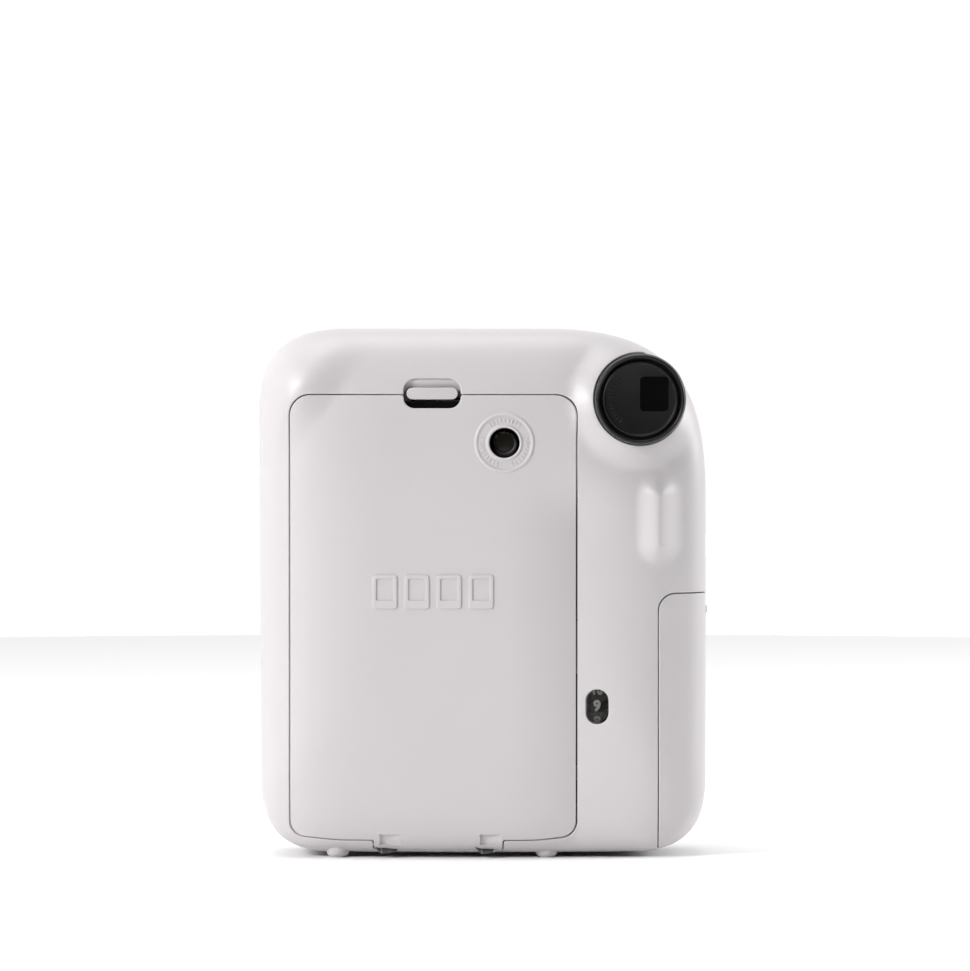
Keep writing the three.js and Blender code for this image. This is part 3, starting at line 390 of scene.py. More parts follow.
def inside(points, loops):
    """Which points lie inside the first loop and outside the others."""
    result = np.zeros(len(points), bool)
    for loop in loops:
        a, b = loop, np.roll(loop, -1, 0)
        for (x0, z0), (x1, z1) in zip(a, b):
            crosses = (z0 > points[:, 1]) != (z1 > points[:, 1])
            if z0 != z1:
                at = x0 + (points[:, 1] - z0) * (x1 - x0) / (z1 - z0)
                result ^= crosses & (points[:, 0] < at)
    return result


def wound(loop, counter_clockwise):
    a, b = loop, np.roll(loop, -1, 0)
    area = np.sum(a[:, 0] * b[:, 1] - b[:, 0] * a[:, 1])
    return loop if (area > 0) == counter_clockwise else loop[::-1]


def inward_of(loop):
    """For each point, the way into the material, longer at a corner so that offsets stay even."""
    ahead = np.roll(loop, -1, 0) - loop
    ahead /= np.linalg.norm(ahead, axis=1)[:, None]
    behind = np.roll(ahead, 1, 0)
    normal = np.stack([-ahead[:, 1] - behind[:, 1], ahead[:, 0] + behind[:, 0]], 1)
    length = np.linalg.norm(normal, axis=1)[:, None]
    normal /= length
    return normal / np.clip(length / 2, 0.6, 1)


def point_tree(points):
    tree = KDTree(len(points))
    for i, (px, pz) in enumerate(points):
        tree.insert((px, pz, 0), i)
    tree.balance()
    return tree


def clear_of(points, tree, distance):
    """Those of the points that lie further than a distance from every point of the tree."""
    keep = [tree.find((px, pz, 0))[2] > distance for px, pz in points]
    return points[np.array(keep, bool)]


def filling(face, edges, boundary, spacing, extra):
    """Points inside a panel: staggered rows, and finer ones where a detail needs them."""
    tree = point_tree(boundary)
    low, high = boundary.min(0), boundary.max(0)
    grid, row, z = [], 0, low[1]
    while z < high[1]:
        grid += [(px, z) for px in np.arange(low[0] + (row % 2) * spacing / 2, high[0], spacing)]
        z += spacing * ROW_PITCH
        row += 1
    grid = np.array(grid)
    grid = clear_of(grid[inside(grid, edges)], tree, spacing * 0.5)
    if not len(extra):
        return [grid]
    details = face.plan(extra)
    details = clear_of(details[inside(details, edges)], tree, 0.2)
    return [clear_of(grid, point_tree(details), spacing * 0.45), details]


def triangulated(points, edges):
    """The plan's points and triangles, and where each point that went in is found."""
    counts = np.cumsum([0] + [len(edge) for edge in edges])
    links = []
    for a, b in zip(counts, counts[1:]):
        links += [(i, i + 1 if i + 1 < b else a) for i in range(a, b)]
    found = geometry.delaunay_2d_cdt([Vector(p) for p in points], links, [], 0, 1e-7)
    plan = np.array([tuple(v) for v in found[0]])
    lookup = np.zeros(len(points), int)
    for new, olds in enumerate(found[3]):
        for old in olds:
            lookup[old] = new
    triangles = np.array(found[2])
    return plan, triangles[inside(plan[triangles].mean(1), edges)], lookup


def edge_of(face, loop, lip):
    """An edge: its inset line, its outline, normals, and the way into the material."""
    way = inward_of(loop)
    outer = face.place(loop)
    step = face.place(loop + way * 0.05) - outer
    length = np.linalg.norm(way, axis=1)[:, None]
    stretch = np.linalg.norm(step, axis=1) / 0.05 / np.linalg.norm(way, axis=1)
    inset = loop + way * (lip / np.clip(stretch, 0.3, 3))[:, None]
    normal = face.normal(loop)
    into = step - np.sum(step * normal, 1)[:, None] * normal
    into /= np.linalg.norm(into, axis=1)[:, None]
    return inset, outer, normal, into, length


def panel(name, face, loops, thickness=WALL, lip=0.35, spacing=1.7, extra=()):
    """A moulded panel: its outside lies on the case's form, its edges are rounded over by lip."""
    loops = [wound(filled_in(loop), i == 0) for i, loop in enumerate(loops)]
    edges = [edge_of(face, loop, lip) for loop in loops]
    insets = [inset for inset, *_ in edges]
    boundary = np.concatenate(insets)
    everything = np.concatenate([boundary] + filling(face, insets, boundary, spacing, extra))
    plan, triangles, lookup = triangulated(everything, insets)
    if face.sign > 0:
        triangles = triangles[:, ::-1]
    top_normal = face.normal(plan)
    top = face.place(plan)
    size = len(plan)
    verts = [top, top - top_normal * thickness]
    faces = [tuple(t) for t in triangles] + [tuple(size + t[::-1]) for t in triangles]
    corner_normals = [top_normal[t] for t in triangles] + [-top_normal[t[::-1]] for t in triangles]
    total, first = 2 * size, 0
    for inset, outer, normal, into, length in edges:
        n = len(outer)
        centre = outer + (into * length - normal) * lip
        rim = lookup[first : first + n]
        first += n
        rows, row_normals = [rim], [top_normal[rim]]
        for k in range(1, LIP_STEPS + 1):
            a = math.pi / 2 * k / LIP_STEPS
            verts.append(centre + normal * lip * math.cos(a) - into * length * lip * math.sin(a))
            row_normals.append(normal * math.cos(a) - into * math.sin(a))
            rows.append(np.arange(total, total + n))
            total += n
        verts.append(outer - normal * thickness)
        row_normals.append(-into)
        rows.append(np.arange(total, total + n))
        total += n
        rows.append(size + rim)
        row_normals.append(-top_normal[rim])
        for k in range(len(rows) - 1):
            here, following = row_normals[k], row_normals[k + 1]
            for i in range(n):
                j = (i + 1) % n
                quad = (rows[k][i], rows[k + 1][i], rows[k + 1][j], rows[k][j])
                normals = [here[i], following[i], following[j], here[j]]
                if k == len(rows) - 2:
                    normals = [-normal[i], -normal[i], -normal[j], -normal[j]]
                if face.sign > 0:
                    quad, normals = quad[::-1], normals[::-1]
                faces.append(quad)
                corner_normals.append(np.array(normals))
    mesh = bpy.data.meshes.new(name)
    mesh.from_pydata((np.concatenate(verts) * MM).tolist(), [], [tuple(int(i) for i in f) for f in faces])
    mesh.polygons.foreach_set("use_smooth", [True] * len(mesh.polygons))
    mesh.normals_split_custom_set([tuple(n) for n in np.concatenate(corner_normals)])
    mesh.update()
    piece = bpy.data.objects.new(name, mesh)
    bpy.context.scene.collection.objects.link(piece)
    return piece


def rings_round(x, z, radii, step=0.45):
    """Points in rings round a spot, so that a raised ring there is crisp."""
    points = []
    bits = int(2 * math.pi * max(radii) / step)
    for i, radius in enumerate(radii):
        for k in range(bits):
            a = 2 * math.pi * (k + 0.5 * (i % 2)) / bits
            points.append((x + radius * math.cos(a), z + radius * math.sin(a)))
    return points


def nothing_selected():
    if bpy.context.object and bpy.context.object.mode != "OBJECT":
        bpy.ops.object.mode_set(mode="OBJECT")
    bpy.ops.object.select_all(action="DESELECT")


def work_on(piece):
    nothing_selected()
    piece.select_set(True)
    bpy.context.view_layer.objects.active = piece


def settle(piece, name=None):
    """Applies the modifiers and the place, so that the piece's object sits at the origin."""
    work_on(piece)
    for modifier in list(piece.modifiers):
        bpy.ops.object.modifier_apply(modifier=modifier.name)
    bpy.ops.object.transform_apply(location=True, rotation=True, scale=True)
    if name:
        piece.name = name
        piece.data.name = name
    return piece


def smooth_by_angle(piece, degrees=35):
    work_on(piece)
    bpy.ops.object.shade_smooth_by_angle(angle=math.radians(degrees))


def soft_line(points, step=0.12):
    """An open profile of (r, y, radius) points with its inner corners rounded."""
    line = rounded(list(points) + [(points[0][0] - 50, points[0][1] - 50, 0)], step)
    return line[: len(line) - 1]


def turned(name, profile, x, z, steps=96, closed=False, upright=None):
    """A piece turned about an axis along Y, or upright at that y.

    The profile is (radius, height, rounding) points.
    """
    if closed:
        line = rounded(profile, 0.12)
    else:
        line = soft_line(profile)
    mesh = bpy.data.meshes.new(name)
    edges = [(i, i + 1) for i in range(len(line) - 1)]
    if closed:
        edges.append((len(line) - 1, 0))
    mesh.from_pydata([(r * MM, y * MM, 0) for r, y in line], edges, [])
    piece = bpy.data.objects.new(name, mesh)
    bpy.context.scene.collection.objects.link(piece)
    work_on(piece)
    bpy.ops.object.mode_set(mode="EDIT")
    bpy.ops.mesh.select_all(action="SELECT")
    bpy.ops.mesh.spin(steps=steps, angle=2 * math.pi, center=(0, 0, 0), axis=(0, 1, 0))
    bpy.ops.mesh.select_all(action="SELECT")
    bpy.ops.mesh.remove_doubles(threshold=1e-6)
    bpy.ops.mesh.normals_make_consistent(inside=False)
    bpy.ops.object.mode_set(mode="OBJECT")
    if upright is None:
        piece.location = (x * MM, 0, z * MM)
    else:
        piece.rotation_euler = (math.pi / 2, 0, 0)
        piece.location = (x * MM, upright * MM, z * MM)
    settle(piece)
    smooth_by_angle(piece)
    return piece


def slab(name, line, low, high, edge=0.2, segments=3, along="Y"):
    """A flat outline made thick along an axis, its rims bevelled; the outline is (x, z), or (y, z) for X."""
    at = {"Y": lambda a, b: (a, low, b), "X": lambda a, b: (low, a, b), "Z": lambda a, b: (a, b, low)}[along]
    push = {"Y": (0, 1, 0), "X": (1, 0, 0), "Z": (0, 0, 1)}[along]
    mesh = bpy.data.meshes.new(name)
    mesh.from_pydata([Vector(at(a, b)) * MM for a, b in line], [], [tuple(range(len(line)))])
    piece = bpy.data.objects.new(name, mesh)
    bpy.context.scene.collection.objects.link(piece)
    work_on(piece)
    bpy.ops.object.mode_set(mode="EDIT")
    bpy.ops.mesh.select_all(action="SELECT")
    step = Vector(push) * (high - low) * MM
    bpy.ops.mesh.extrude_region_move(TRANSFORM_OT_translate={"value": step})
    bpy.ops.mesh.select_all(action="SELECT")
    bpy.ops.mesh.normals_make_consistent(inside=False)
    bpy.ops.object.mode_set(mode="OBJECT")
    if edge:
        bevel = piece.modifiers.new("rim", "BEVEL")
        bevel.width = edge * MM
        bevel.segments = segments
        bevel.limit_method = "ANGLE"
        bevel.angle_limit = math.radians(50)
    settle(piece)
    smooth_by_angle(piece)
    return piece


def block(name, low, high, edge=0.3, segments=3):
    """A moulded block between two corners, its edges rounded."""
    nothing_selected()
    low, high = Vector(low) * MM, Vector(high) * MM
    bpy.ops.mesh.primitive_cube_add(size=1, location=(low + high) / 2)
    piece = bpy.context.object
    piece.scale = high - low
    bpy.ops.object.transform_apply(location=False, rotation=False, scale=True)
    bevel = piece.modifiers.new("edges", "BEVEL")
    bevel.width = edge * MM
    bevel.segments = segments
    settle(piece, name)
    smooth_by_angle(piece)
    return piece


def cut(piece, cutter):
    work_on(piece)
    boolean = piece.modifiers.new("cut", "BOOLEAN")
    boolean.operation = "DIFFERENCE"
    boolean.solver = "EXACT"
    boolean.object = cutter
    bpy.ops.object.modifier_apply(modifier=boolean.name)
    bpy.data.objects.remove(cutter)
    smooth_by_angle(piece)
    return piece


# ---------- materials ----------


def colour(hex_value):
    """An sRGB hex colour as the linear numbers that the shader wants."""
    parts = [int(hex_value[i : i + 2], 16) / 255 for i in (0, 2, 4)]
    linear = [p / 12.92 if p <= 0.04045 else ((p + 0.055) / 1.055) ** 2.4 for p in parts]
    return (*linear, 1.0)


def add(tree, kind, settings=(), links=()):
    """Adds one node, sets its options and sockets, and links its inputs."""
    made = tree.nodes.new("ShaderNode" + kind)
    for key, value in dict(settings).items():
        if isinstance(key, str) and hasattr(made, key):
            setattr(made, key, value)
        else:
            made.inputs[key].default_value = value
    for key, source in dict(links).items():
        tree.links.new(source, made.inputs[key])
    return made


def new_material(name, shader):
    material = bpy.data.materials.new(name)
    material.use_nodes = True
    tree = material.node_tree
    tree.nodes.clear()
    output = add(tree, "OutputMaterial")
    principled = add(tree, "BsdfPrincipled", shader)
    tree.links.new(principled.outputs["BSDF"], output.inputs["Surface"])
    place = add(tree, "TexCoord").outputs["Object"]
    return material, tree, principled, place


def per_mm(size_mm):
    """Noise scale, in metres, whose features are about size_mm across."""
    return 1.0 / (size_mm * MM)


def vary(tree, principled, place, tone_a, tone_b, size_mm, rough, rough_spread, grain_mm, grain_depth_mm):
    """Slow drift of tone, patchy gloss and a fine moulded grain, each at its own real size."""
    drift = add(tree, "TexNoise", {"Scale": per_mm(size_mm), "Detail": 3.0}, {"Vector": place})
    tone = add(
        tree,
        "Mix",
        {"data_type": "RGBA", 6: colour(tone_a), 7: colour(tone_b)},
        {0: drift.outputs["Fac"]},
    )
    tree.links.new(tone.outputs[2], principled.inputs["Base Color"])
    patches = add(tree, "TexNoise", {"Scale": per_mm(size_mm / 4), "Detail": 4.0}, {"Vector": place})
    gloss = add(
        tree,
        "MapRange",
        {"To Min": rough - rough_spread, "To Max": rough + rough_spread},
        {"Value": patches.outputs["Fac"]},
    )
    tree.links.new(gloss.outputs["Result"], principled.inputs["Roughness"])
    grain = add(tree, "TexNoise", {"Scale": per_mm(grain_mm), "Detail": 2.0}, {"Vector": place})
    bump = add(
        tree,
        "Bump",
        {"Strength": 1.0, "Distance": grain_depth_mm * MM},
        {"Height": grain.outputs["Fac"]},
    )
    tree.links.new(bump.outputs["Normal"], principled.inputs["Normal"])


def surfaced(name, shader, *look):
    """A material that needs nothing more than vary gives it."""
    material, tree, principled, place = new_material(name, shader)
    vary(tree, principled, place, *look)
    return material


def moulded_abs():
    # Satin-moulded ABS in a clay white: soft broad highlights over a barely warm white.
    return surfaced("clay_white_moulded_ABS", {"IOR": 1.53}, "CAC6C8", "C5C1C3", 30, 0.4, 0.03, 0.5, 0.004)


def inner_black():
    # Black ABS left matt inside so that it doesn't throw light onto the film.
    return surfaced("matt_black_ABS", {"IOR": 1.53}, "121212", "191919", 12, 0.62, 0.08, 0.4, 0.02)


def satin_black():
    # Satin black ABS of the eyepiece and lens barrel: dark with a soft grey sheen on its edges.
    return surfaced(
        "satin_black_ABS", {"IOR": 1.53, "Specular IOR Level": 0.32},
        "0D0D0E", "131314", 14, 0.36, 0.05, 0.35, 0.006,
    )


def ring_grey():
    # Grey satin ABS of the twist ring.
    return surfaced("warm_grey_moulded_ABS", {"IOR": 1.53}, "BDB9BA", "B7B4B5", 20, 0.4, 0.04, 0.4, 0.006)


def smoked_acrylic():
    # Polished smoked acrylic over the windows: nearly black, mirror-sharp highlights.
    return surfaced("smoked_acrylic", {"IOR": 1.49}, "040404", "080807", 6, 0.06, 0.02, 3.0, 0.001)


def counter_acrylic():
    # Clear smoked acrylic that lets the number under it show.
    return surfaced(
        "clear_smoked_acrylic", {"IOR": 1.35, "Transmission Weight": 1.0},
        "DCDCD8", "E0E0DC", 6, 0.05, 0.02, 3.0, 0.001,
    )


def olive_glass():
    # Green-black coated film-check window.
    return surfaced("olive_check_window", {"IOR": 1.49}, "0F0E07", "19170C", 3, 0.2, 0.05, 2.0, 0.004)


def clear_lens():
    # Polished acrylic lens with a faint blue coating bloom.
    return surfaced(
        "coated_clear_acrylic", {"IOR": 1.49, "Coat Weight": 1.0, "Coat Roughness": 0.02},
        "0C1016", "18202B", 8, 0.04, 0.01, 4.0, 0.001,
    )


def frosted_lens():
    # Prismatic acrylic flash window: fine vertical flutes that scatter the light.
    material, tree, principled, place = new_material("prismatic_flash_acrylic", {"IOR": 1.49})
    vary(tree, principled, place, "C9CDD0", "D9DCDE", 9, 0.2, 0.05, 1.0, 0.002)
    waves = add(
        tree,
        "TexWave",
        {"bands_direction": "X", "Scale": per_mm(1.2) / 6.28, "Distortion": 0.0},
        {"Vector": place},
    )
    bump = add(tree, "Bump", {"Strength": 1.0, "Distance": 0.15 * MM}, {"Height": waves.outputs["Fac"]})
    tree.links.new(bump.outputs["Normal"], principled.inputs["Normal"])
    return material


def mirror_metal():
    # Vacuum-metallised acrylic mirror and reflector.
    return surfaced(
        "vacuum_metallised_mirror", {"Metallic": 1.0},
        "D8DADB", "E2E3E4", 10, 0.06, 0.02, 3.0, 0.001,
    )


def plain_steel():
    # Rolled steel with drawn lines along the sheet.
    return surfaced("rolled_steel", {"Metallic": 1.0}, "A6A7AA", "B8B9BB", 6, 0.32, 0.06, 0.25, 0.006)


def machined_brass():
    # Cut brass of the motor pinion.
    return surfaced("machined_brass", {"Metallic": 1.0}, "B8954A", "C8A55A", 4, 0.28, 0.05, 0.25, 0.005)


def natural_nylon():
    # Unpigmented nylon gears: milky, slightly waxy.
    return surfaced(
        "natural_nylon", {"IOR": 1.53, "Subsurface Weight": 0.15, "Subsurface Scale": 0.001},
        "DEDACE", "E6E2D6", 8, 0.45, 0.05, 0.4, 0.008,
    )


def solder_mask():
    # Green solder mask over copper tracks.
    return surfaced("green_solder_mask", {"IOR": 1.5}, "123E22", "1B5230", 3, 0.35, 0.08, 1.2, 0.03)


def shrink_sleeve():
    # PVC sleeve shrunk over the capacitor can.
    return surfaced("pvc_shrink_sleeve", {"IOR": 1.54}, "1B2430", "232E3C", 10, 0.35, 0.06, 1.5, 0.02)


def counter_print():
    # Pad-printed pale ink of the counter's numbers.
    return surfaced("pad_printed_pale_ink", {"IOR": 1.5}, "ECECEA", "F2F2EF", 2, 0.5, 0.05, 0.3, 0.003)


CASE = moulded_abs()
INNER = inner_black()
SATIN = satin_black()
RING = ring_grey()
SMOKED = smoked_acrylic()
COUNTER_PANE = counter_acrylic()
OLIVE = olive_glass()
CLEAR = clear_lens()
FROSTED = frosted_lens()
MIRROR = mirror_metal()
STEEL = plain_steel()
BRASS = machined_brass()
NYLON = natural_nylon()
BOARD = solder_mask()
SLEEVE = shrink_sleeve()
INK = counter_print()


def finish_piece(piece, material, body, replaces=()):
    piece.data.materials.clear()
    piece.data.materials.append(material)
    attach(piece, body)
    if replaces:
        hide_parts(*replaces)
    return piece


# ---------- outside panels ----------


def build_rear_cover():
    side, under, seam = battery_seam(SEAM)
    edge = split_line(back_face, under, side, SPLIT_Y + 0.15)
    outer = np.concatenate([edge[:-1], seam[:-1]])
    slot_angles = [angle_of(x=x) for x in np.linspace(FILM_X - 29, FILM_X + 29, 80)]
    slot = np.concatenate(
        [
            back_face.plan_side(slot_angles, np.full(80, 3.8)),
            back_face.plan_side(slot_angles[::-1], np.full(80, 9.0)),
        ]
    )
    holes = [
        back_face.plan(filled_in(door_opening())),
        back_face.plan(kept_inside(circle(EYE_X, EYE_Z, EYE_RADIUS + 0.25, 0.35))),
        back_face.plan(pill(COUNTER_X, COUNTER_Z, COUNTER_WIDTH, COUNTER_HEIGHT)),
        slot,
    ]
    for first in (4.8, 11.1):
        low, high = angle_of(z=69.5), angle_of(z=74.5)
        holes.append(
            np.concatenate(
                [
                    back_face.plan_side([low] * 8, np.linspace(first, first + 4.3, 8)),
                    back_face.plan_side([high] * 8, np.linspace(first + 4.3, first, 8)),
                ]
            )
        )
    thumb_rest = [(x, z) for x in np.arange(-48.5, -33, 0.9) for z in np.arange(65, 92, 0.9)]
    cover = panel("rear_shell", back_face, [outer] + holes, lip=0.25, extra=np.array(thumb_rest))
    finish_piece(cover, CASE, "camera_body", ["rear_cover"])


def build_door():
    radii = [3.95, 4.15, 4.3, 4.5, 5.0, 5.5, 5.9, 6.05, 6.2, 6.35, 6.5, 6.65, 6.8, 6.95, 7.1, 7.5]
    details = rings_round(CHECK_X, CHECK_Z, radii)
    for x in POCKETS:
        for grow in (-0.5, -0.12, 0.02, 0.14, 0.5):
            left, right = x - POCKET_HALF - grow, x + POCKET_HALF + grow
            low, high = POCKET_LOW - grow, POCKET_HIGH + grow
            corner = max(0.12, 0.5 + grow)
            outline = [(left, low, corner), (right, low, corner), (right, high, corner), (left, high, corner)]
            details += [tuple(point) for point in filled_in(rounded(outline, 0.15), 0.3)]

    def door_relief(x, z):
        away = np.hypot(x - CHECK_X, z - CHECK_Z)
        raised = smooth(6.1, 6.3, away) * (1 - smooth(6.75, 6.95, away))
        seat = 0.28 * (1 - smooth(4.05, 4.3, away))
        sunk = 0.0
        for middle in POCKETS:
            across = smooth(POCKET_HALF + 0.08, POCKET_HALF - 0.08, np.abs(x - middle))
            below_top = smooth(POCKET_HIGH + 0.08, POCKET_HIGH - 0.08, z)
            upwards = below_top * smooth(POCKET_LOW - 0.08, POCKET_LOW + 0.08, z)
            sunk = sunk + across * upwards * (1.2 + 0.9 * (x - middle) / POCKET_HALF)
        return back_relief(x, z) + 0.3 * raised + seat - sunk

    door_face = CaseFace(1, BACK_Y, BACK_ROLL, back_power, door_relief)
    loops = [
        door_face.plan(filled_in(door_outline())),
        door_face.plan(circle(CHECK_X, CHECK_Z, CHECK_RADIUS, 0.35)),
    ]
    door = panel("film_door_shell", door_face, loops, lip=0.3, extra=np.array(details))
    finish_piece(door, CASE, "door", ["film_door"])


def build_battery_cover():
    side, under, seam = battery_seam(-SEAM)
    edge = split_line(back_face, side, under, SPLIT_Y + 0.15)
    outer = np.concatenate([edge[:-1], seam[::-1][:-1]])
    cover = panel("battery_cover_shell", back_face, [outer], lip=0.3)
    finish_piece(cover, CASE, "battery_door", ["battery_cover"])


def build_front_cover():
    angles = np.linspace(0, 2 * math.pi, 640, endpoint=False)
    outer = front_face.plan_side(angles, np.full(640, SPLIT_Y - 0.15))
    radii = [28.8, 29.3, 29.9, 30.5, 31.1, 31.7, 32.3, 32.9, 33.5, 34.1, 34.7, 35.5, 36.5, 37.8]
    collar = rings_round(LENS_X, LENS_Z, radii, 0.9)
    loops = [
        outer,
        front_face.plan(circle(LENS_X, LENS_Z, 28.3, 0.7)),
        front_face.plan(circle(EYE_X, EYE_Z, 9.5)),
        front_face.plan(pill(FLASH_X, FLASH_Z, 26, 15.5)),
        front_face.plan(circle(-18.6, 108.6, 2.9, 0.35)),
        front_face.plan(circle(-18.6, 101.4, 2.2, 0.35)),
        front_face.plan(circle(BUTTON_X, BUTTON_Z, 6.55, 0.4)),
    ]
    cover = panel("front_shell", front_face, loops, lip=0.4, extra=np.array(collar))
    finish_piece(cover, CASE, "camera_body", ["front_cover"])


# ---------- back details ----------


def copied_round(piece, count, x, z, skip=()):
    """Copies a piece round an axis along Y, each copy with its own mesh, and joins them into one."""
    copies = [piece]
    for k in range(1, count):
        if k in skip:
            continue
        twin = bpy.data.objects.new(piece.name, piece.data.copy())
        bpy.context.scene.collection.objects.link(twin)
        middle = Vector((x, 0, z)) * MM
        turn = Matrix.Rotation(2 * math.pi * k / count, 4, "Y")
        twin.data.transform(Matrix.Translation(middle) @ turn @ Matrix.Translation(-middle))
        copies.append(twin)
    return joined(copies)


def joined(pieces):
    work_on(pieces[0])
    for piece in pieces:
        piece.select_set(True)
    bpy.ops.object.join()
    return pieces[0]


def build_eyepiece():
    cup = turned(
        "eyepiece_cup",
        [
            (0, 18, 0),
            (EYE_RADIUS - 0.2, 18, 0.2),
            (EYE_RADIUS, EYE_BACK - 1.6, 0.6),
            (EYE_RADIUS - 0.35, EYE_BACK - 0.25, 0.6),
            (EYE_RADIUS - 0.95, EYE_BACK - 0.05, 0.4),
            (EYE_RADIUS - 1.45, EYE_BACK - 1.5, 0.45),
            (8.75, EYE_BACK - 1.55, 0.2),
            (8.6, EYE_BACK - 0.85, 0.12),
            (8.3, EYE_BACK - 0.75, 0.12),
            (8.05, EYE_BACK - 1.15, 0.15),
            (0, EYE_BACK - 1.3, 0),
        ],
        EYE_X,
        EYE_Z,
        144,
    )
    corners = [(-1, -1), (1, -1), (1, 1), (-1, 1)]
    window = rounded([(FINDER_X + sx * 3.3, FINDER_Z + sz * 4.0, 1.0) for sx, sz in corners], 0.2)
    cut(cup, slab("window_cutter", window, 24, 40, 0))
    bevel = cup.modifiers.new("window_rim", "BEVEL")
    bevel.width = 0.22 * MM
    bevel.segments = 2
    bevel.limit_method = "ANGLE"
    bevel.angle_limit = math.radians(60)
    settle(cup)
    smooth_by_angle(cup)
    finish_piece(cup, SATIN, "camera_body", ["eyepiece_ring"])
    pane = slab("eyepiece_glass", window, 27, 28.2, 0)
    finish_piece(pane, SMOKED, "camera_body", ["eyepiece_lens"])
    face = EYE_BACK - 1.3
    low = (EYE_X + 6.1, face - 0.3, EYE_Z - 0.18)
    tick = block("eyepiece_ticks", low, (EYE_X + 7.3, face + 0.3, EYE_Z + 0.18), 0.1)
    turn = Matrix.Rotation(math.radians(-42), 4, "Y")
    middle = Vector((EYE_X, 0, EYE_Z)) * MM
    tick.data.transform(Matrix.Translation(middle) @ turn @ Matrix.Translation(-middle))
    ticks = copied_round(tick, 48, EYE_X, EYE_Z, skip=list(range(13, 48)) + [6])
    finish_piece(ticks, SATIN, "camera_body", ())


def build_latch():
    bar = slab("latch_bar", pill(LATCH_X, LATCH_Z - 0.1, 11.8, 2.7), 22.6, 25.5, 0.7, 5)
    finish_piece(bar, CASE, "latch", ["door_latch"])
    profile = [(24.1, 111.5), (19.5, 111.5), (19.5, 108.0), (23.4, 108.0), (24.0, 109.2), (24.5, 110.5)]
    floor = slab("latch_finger_floor", profile, LATCH_X - 6.8, LATCH_X + 6.8, 0.3, 3, along="X")
    finish_piece(floor, CASE, "camera_body", ())


def build_windows():
    profile = [(0, 23.6, 0), (3.6, 23.6, 0), (3.6, 25.2, 0.1), (0, 25.3, 0)]
    check = turned("check_window_pane", profile, CHECK_X, CHECK_Z, 64)
    finish_piece(check, OLIVE, "door", ["film_check_window"])
    pane = slab("counter_lens", pill(COUNTER_X, COUNTER_Z, 4.75, 7.55), 23.9, 25.9, 1.6, 8)
    finish_piece(pane, COUNTER_PANE, "camera_body", ["counter_window"])


def build_check_ring_ticks():
    """Plain ticks round the film window."""
    y = float(door_height(CHECK_X, CHECK_Z + 5.2))
    tick = block(
        "check_window_ticks",
        (CHECK_X - 0.17, y - 0.6, CHECK_Z + 4.75),
        (CHECK_X + 0.17, y + 0.16, CHECK_Z + 5.65),
        0.08,
    )
    skip = [k for k in range(36) if k % 12 in (5, 6, 7)]
    ticks = copied_round(tick, 36, CHECK_X, CHECK_Z, skip=skip)
    for vertex in ticks.data.vertices:
        x, z = vertex.co.x / MM, vertex.co.z / MM
        vertex.co.y += (float(door_height(x, z)) - y) * MM
    finish_piece(ticks, CASE, "door", ())


def door_height(x, z):
    at = back_face.plan([(x, z)])
    return back_face.place(at)[0, 1]


def build_door_relief():
    """Four blank print frames moulded on the door."""
    frames = []
    for k in range(4):
        x, z = FILM_X + 11.1 - 7.4 * k, 61.8
        corners = [(-1, -1), (1, -1), (1, 1), (-1, 1)]
        outer = rounded([(x + sx * 2.85, z + sz * 3.9, 0.7) for sx, sz in corners], 0.15)
        opening = rounded([(x + sx * 1.95, z + 0.55 + sz * 2.5, 0.3) for sx, sz in corners], 0.15)
        print_frame = slab("print_frame", outer, 27.2, 27.82, 0)
        cut(print_frame, slab("print_opening", opening, 26, 29, 0))
        bevel = print_frame.modifiers.new("soft_rim", "BEVEL")
        bevel.width = 0.16 * MM
        bevel.segments = 3
        bevel.limit_method = "ANGLE"
        bevel.angle_limit = math.radians(50)
        settle(print_frame)
        smooth_by_angle(print_frame)
        frames.append(print_frame)
    relief = joined(frames)
    relief.name = "door_print_frames"
    finish_piece(relief, CASE, "door", ())


def build_counter():
    """The drum under the window: numbers count the prints that are left."""
    axis_y, apothem, half = 16.1, 6.9, 2.2
    nothing_selected()
    corner = apothem / math.cos(math.pi / 12)
    bpy.ops.mesh.primitive_cylinder_add(vertices=12, radius=corner * MM, depth=2 * half * MM)
    drum = bpy.context.object
    drum.rotation_euler = (0, math.pi / 2, 0)
    drum.location = Vector((COUNTER_X, axis_y, COUNTER_Z)) * MM
    bpy.ops.object.transform_apply(location=False, rotation=True, scale=False)
    drum.rotation_euler = (math.radians(15), 0, 0)
    bevel = drum.modifiers.new("edges", "BEVEL")
    bevel.width = 0.15 * MM
    bevel.segments = 2
    settle(drum, "counter_number_drum")
    smooth_by_angle(drum)
    finish_piece(drum, SATIN, "drum", ["counter_drum"])
    numbers = []
    for k in range(11):
        text = bpy.data.curves.new("number", "FONT")
        text.body = str(k)
        text.size = 3.2 * MM
        text.align_x = "CENTER"
        text.align_y = "CENTER"
        text.extrude = 0.03 * MM
        text.offset = 0.14 * MM
        number = bpy.data.objects.new("number", text)
        bpy.context.scene.collection.objects.link(number)
        work_on(number)
        bpy.ops.object.convert(target="MESH")
        number = bpy.context.object
        upright = Matrix.Rotation(math.pi, 4, "Z") @ Matrix.Rotation(math.pi / 2, 4, "X")
        outwards = Matrix.Translation((0, (apothem + 0.03) * MM, 0))
        turn = Matrix.Rotation(math.radians(30 * (k - 9)), 4, "X")
        place = Matrix.Translation(Vector((COUNTER_X, axis_y, COUNTER_Z)) * MM)
        squeeze = Matrix.Scale(0.8 if k == 10 else 1.0, 4, (1, 0, 0))
        number.data.transform(place @ turn @ outwards @ upright @ squeeze)
        numbers.append(number)
    printed = joined(numbers)
    printed.name = "counter_numbers"
    finish_piece(printed, INK, "drum", ())


